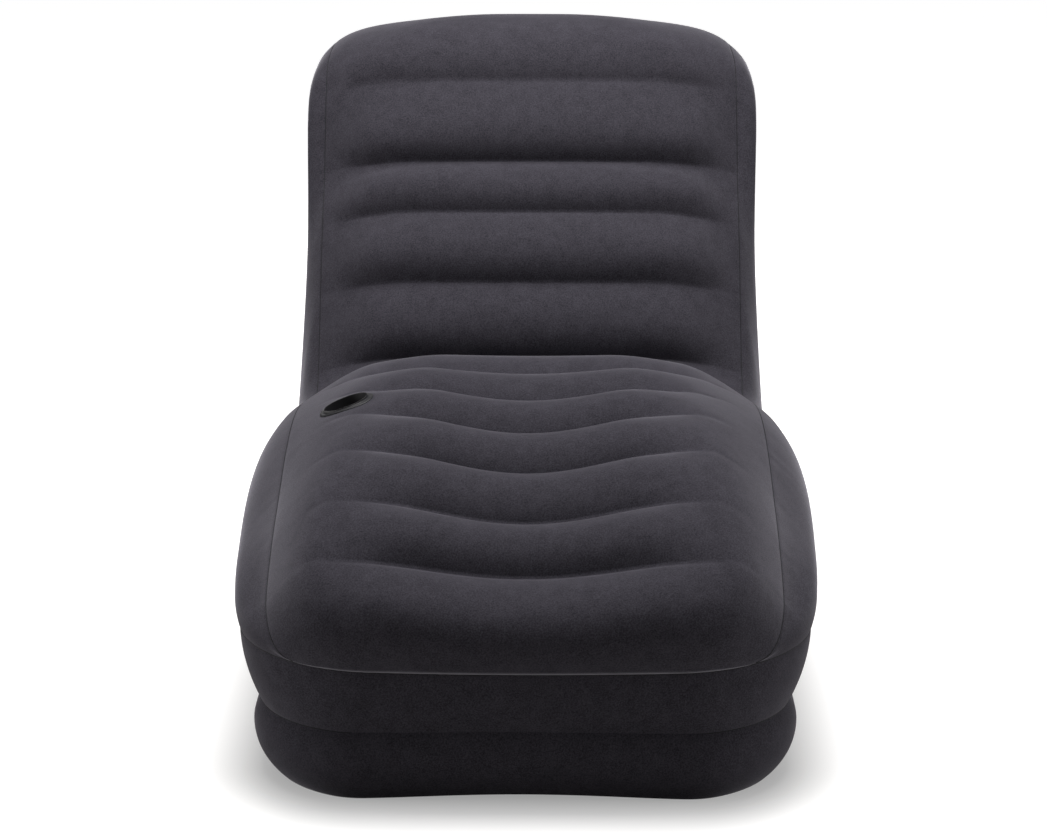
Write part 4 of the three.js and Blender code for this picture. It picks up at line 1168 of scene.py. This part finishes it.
plug_profile = rounded([
    (nozzle, -plug_depth, 0.0002),
    (bore_at(-plug_depth) - flange_gap, -plug_depth, 0.0004),
    (bore_at(plug_low) - flange_gap, plug_low, 0.0003),
    (plug_radius, plug_low, 0.0004),
    (plug_radius, plug_high, 0.0007),
    (nozzle_mouth + 0.0045, plug_high),
    (nozzle_mouth, plug_high, 0.0002),
    (nozzle, plug_high - cap_depth - flange_gap),
], loop=True)
valve_part("valve_plug_body", [
    turned_body(valve_seat, plug_profile, loop=True),
    tab(plug_radius - 0.002, plug_hinge - hinge_gap, plug_low, plug_high),
    tab(-cap_hinge - lug, -cap_hinge - hinge_gap, plug_high - 0.001, cap_high),
    tab(flap_hinge + hinge_gap, flap_hinge + lug - hinge_gap, flap_low, -plug_depth + 0.002),
    ribs_round(60, plug_radius - 0.0001, (plug_low + plug_high) / 2, long=0.0006, broad=0.0009, tall=0.0012),
], "plug", "valve_plug")

cap_profile = rounded([
    (0, plug_high - cap_depth),
    (nozzle - flange_gap, plug_high - cap_depth, 0.0006),
    (nozzle_mouth - flange_gap, plug_high, 0.0002),
    (nozzle_mouth - flange_gap, cap_low, 0.0001),
    (cap_radius, cap_low, 0.0003),
    (cap_radius, cap_high, 0.0005),
    (0.004, cap_high),
    (0, cap_high),
])
valve_part("inflation_cap_body", [
    turned_body(valve_seat, cap_profile),
    tab(-cap_hinge + hinge_gap, -cap_radius + 0.0014, cap_low, cap_high),
    ribs_round(36, cap_radius - 0.0001, (cap_low + cap_high) / 2, long=0.0005, broad=0.0007, tall=0.0008),
], "cap", "inflation_cap")

flap_profile = rounded([
    (0, flap_low), (flap_radius, flap_low, 0.0002), (flap_radius, flap_high, 0.0002), (0, flap_high),
])
valve_part("check_flap_disc", [
    turned_body(valve_seat, flap_profile),
    tab(0.002, flap_hinge - hinge_gap, flap_low, flap_high, round_by=0.0002),
], "flap", "check_flap")

# Floor, light and camera. A pale studio floor glows white to the camera, and its glow is dimmed close round the
# chair's foot, which paints shade there on top of the real shadow. One large soft light hangs overhead, with weaker
# ones behind and at both sides. The camera stands where the photograph was taken from.
floor_mesh = bpy.data.meshes.new("studio_floor")
reach = 14
corners = [(-reach, -reach, 0), (reach, -reach, 0), (reach, reach, 0), (-reach, reach, 0)]
floor_mesh.from_pydata(corners, [], [(0, 1, 2, 3)])
floor = new_object("studio_floor", floor_mesh)


def seen_straight(tree):
    """1 where the camera sees a surface, also through a clear one, and 0 for all other light."""
    ray = add_node(tree, "ShaderNodeLightPath", {}).outputs
    ways = {0: ray["Is Camera Ray"], 1: ray["Is Transmission Ray"]}
    return add_node(tree, "ShaderNodeMath", ways, operation="MAXIMUM").outputs[0]


def vector_step(tree, operation, *inputs):
    return add_node(tree, "ShaderNodeVectorMath", dict(enumerate(inputs)), operation=operation).outputs


floor_paint, tree, shader = new_material("studio_floor", 0.9, 0.05)
shader.inputs["Base Color"].default_value = (0.54, 0.527, 0.513, 1)
shader.inputs["Emission Color"].default_value = (1, 1, 1, 1)
place = add_node(tree, "ShaderNodeTexCoord", {})
mirrored = vector_step(tree, "ABSOLUTE", place.outputs["Object"])[0]
beyond = vector_step(tree, "SUBTRACT", mirrored, (0.24, 0.66, 0))[0]
far = vector_step(tree, "LENGTH", vector_step(tree, "MAXIMUM", beyond)[0])["Value"]
# Painted shadow: the glow is 0.3 close round the chair's foot and rises to 0.95 further out, so the floor is painted
# darker near the base.
glow_with_painted_shade = add_node(tree, "ShaderNodeMapRange", {
    "Value": far, "From Min": 0.09, "From Max": 0.34, "To Min": 0.3, "To Max": 0.95}, interpolation_type="SMOOTHSTEP")
glow = add_node(tree, "ShaderNodeMath", {0: seen_straight(tree), 1: glow_with_painted_shade.outputs["Result"]}, operation="MULTIPLY")
tree.links.new(glow.outputs[0], shader.inputs["Emission Strength"])
floor_mesh.materials.append(floor_paint)

world = bpy.data.worlds.new("studio")
bpy.context.scene.world = world
world.use_nodes = True
tree = world.node_tree
backdrop = tree.nodes["Background"]
backdrop.inputs["Color"].default_value = (1, 1, 1, 1)
level_of = add_node(tree, "ShaderNodeMapRange", {"Value": seen_straight(tree), "To Min": 0.08, "To Max": 1})
tree.links.new(level_of.outputs["Result"], backdrop.inputs["Strength"])

for name, place, target, size, power in (
    ("overhead", (0, 0.05, 3.3), (0, 0.05, 0.3), (2.0, 2.2), 128),
    ("behind", (0, 3.4, 0.8), (0, 0.9, 0.35), (2.6, 1.3), 34),
    ("right_side", (2.6, -0.5, 0.5), (0, -0.1, 0.25), (2.0, 1.0), 20),
    ("left_side", (-2.6, -0.5, 0.5), (0, -0.1, 0.25), (2.0, 1.0), 20),
):
    light = bpy.data.lights.new(name, "AREA")
    light.shape = "RECTANGLE"
    light.size, light.size_y = size
    light.energy = power
    lamp = new_object(name, light)
    lamp.location = place
    lamp.rotation_euler = (Vector(target) - Vector(place)).to_track_quat("-Z", "Y").to_euler()

photo_width = 1047
focal_length = 2800  # in pixels of the photograph
camera_data = bpy.data.cameras.new("camera")
camera_data.sensor_width = 36
camera_data.lens = camera_data.sensor_width * focal_length / photo_width
camera_data.clip_end = 60
camera = new_object("camera", camera_data)
camera.location = (0.035, -4.505, 1.555)
camera.rotation_euler = (math.radians(75), 0, math.radians(0.556))
bpy.context.scene.camera = camera
bpy.context.scene.view_settings.view_transform = "Standard"
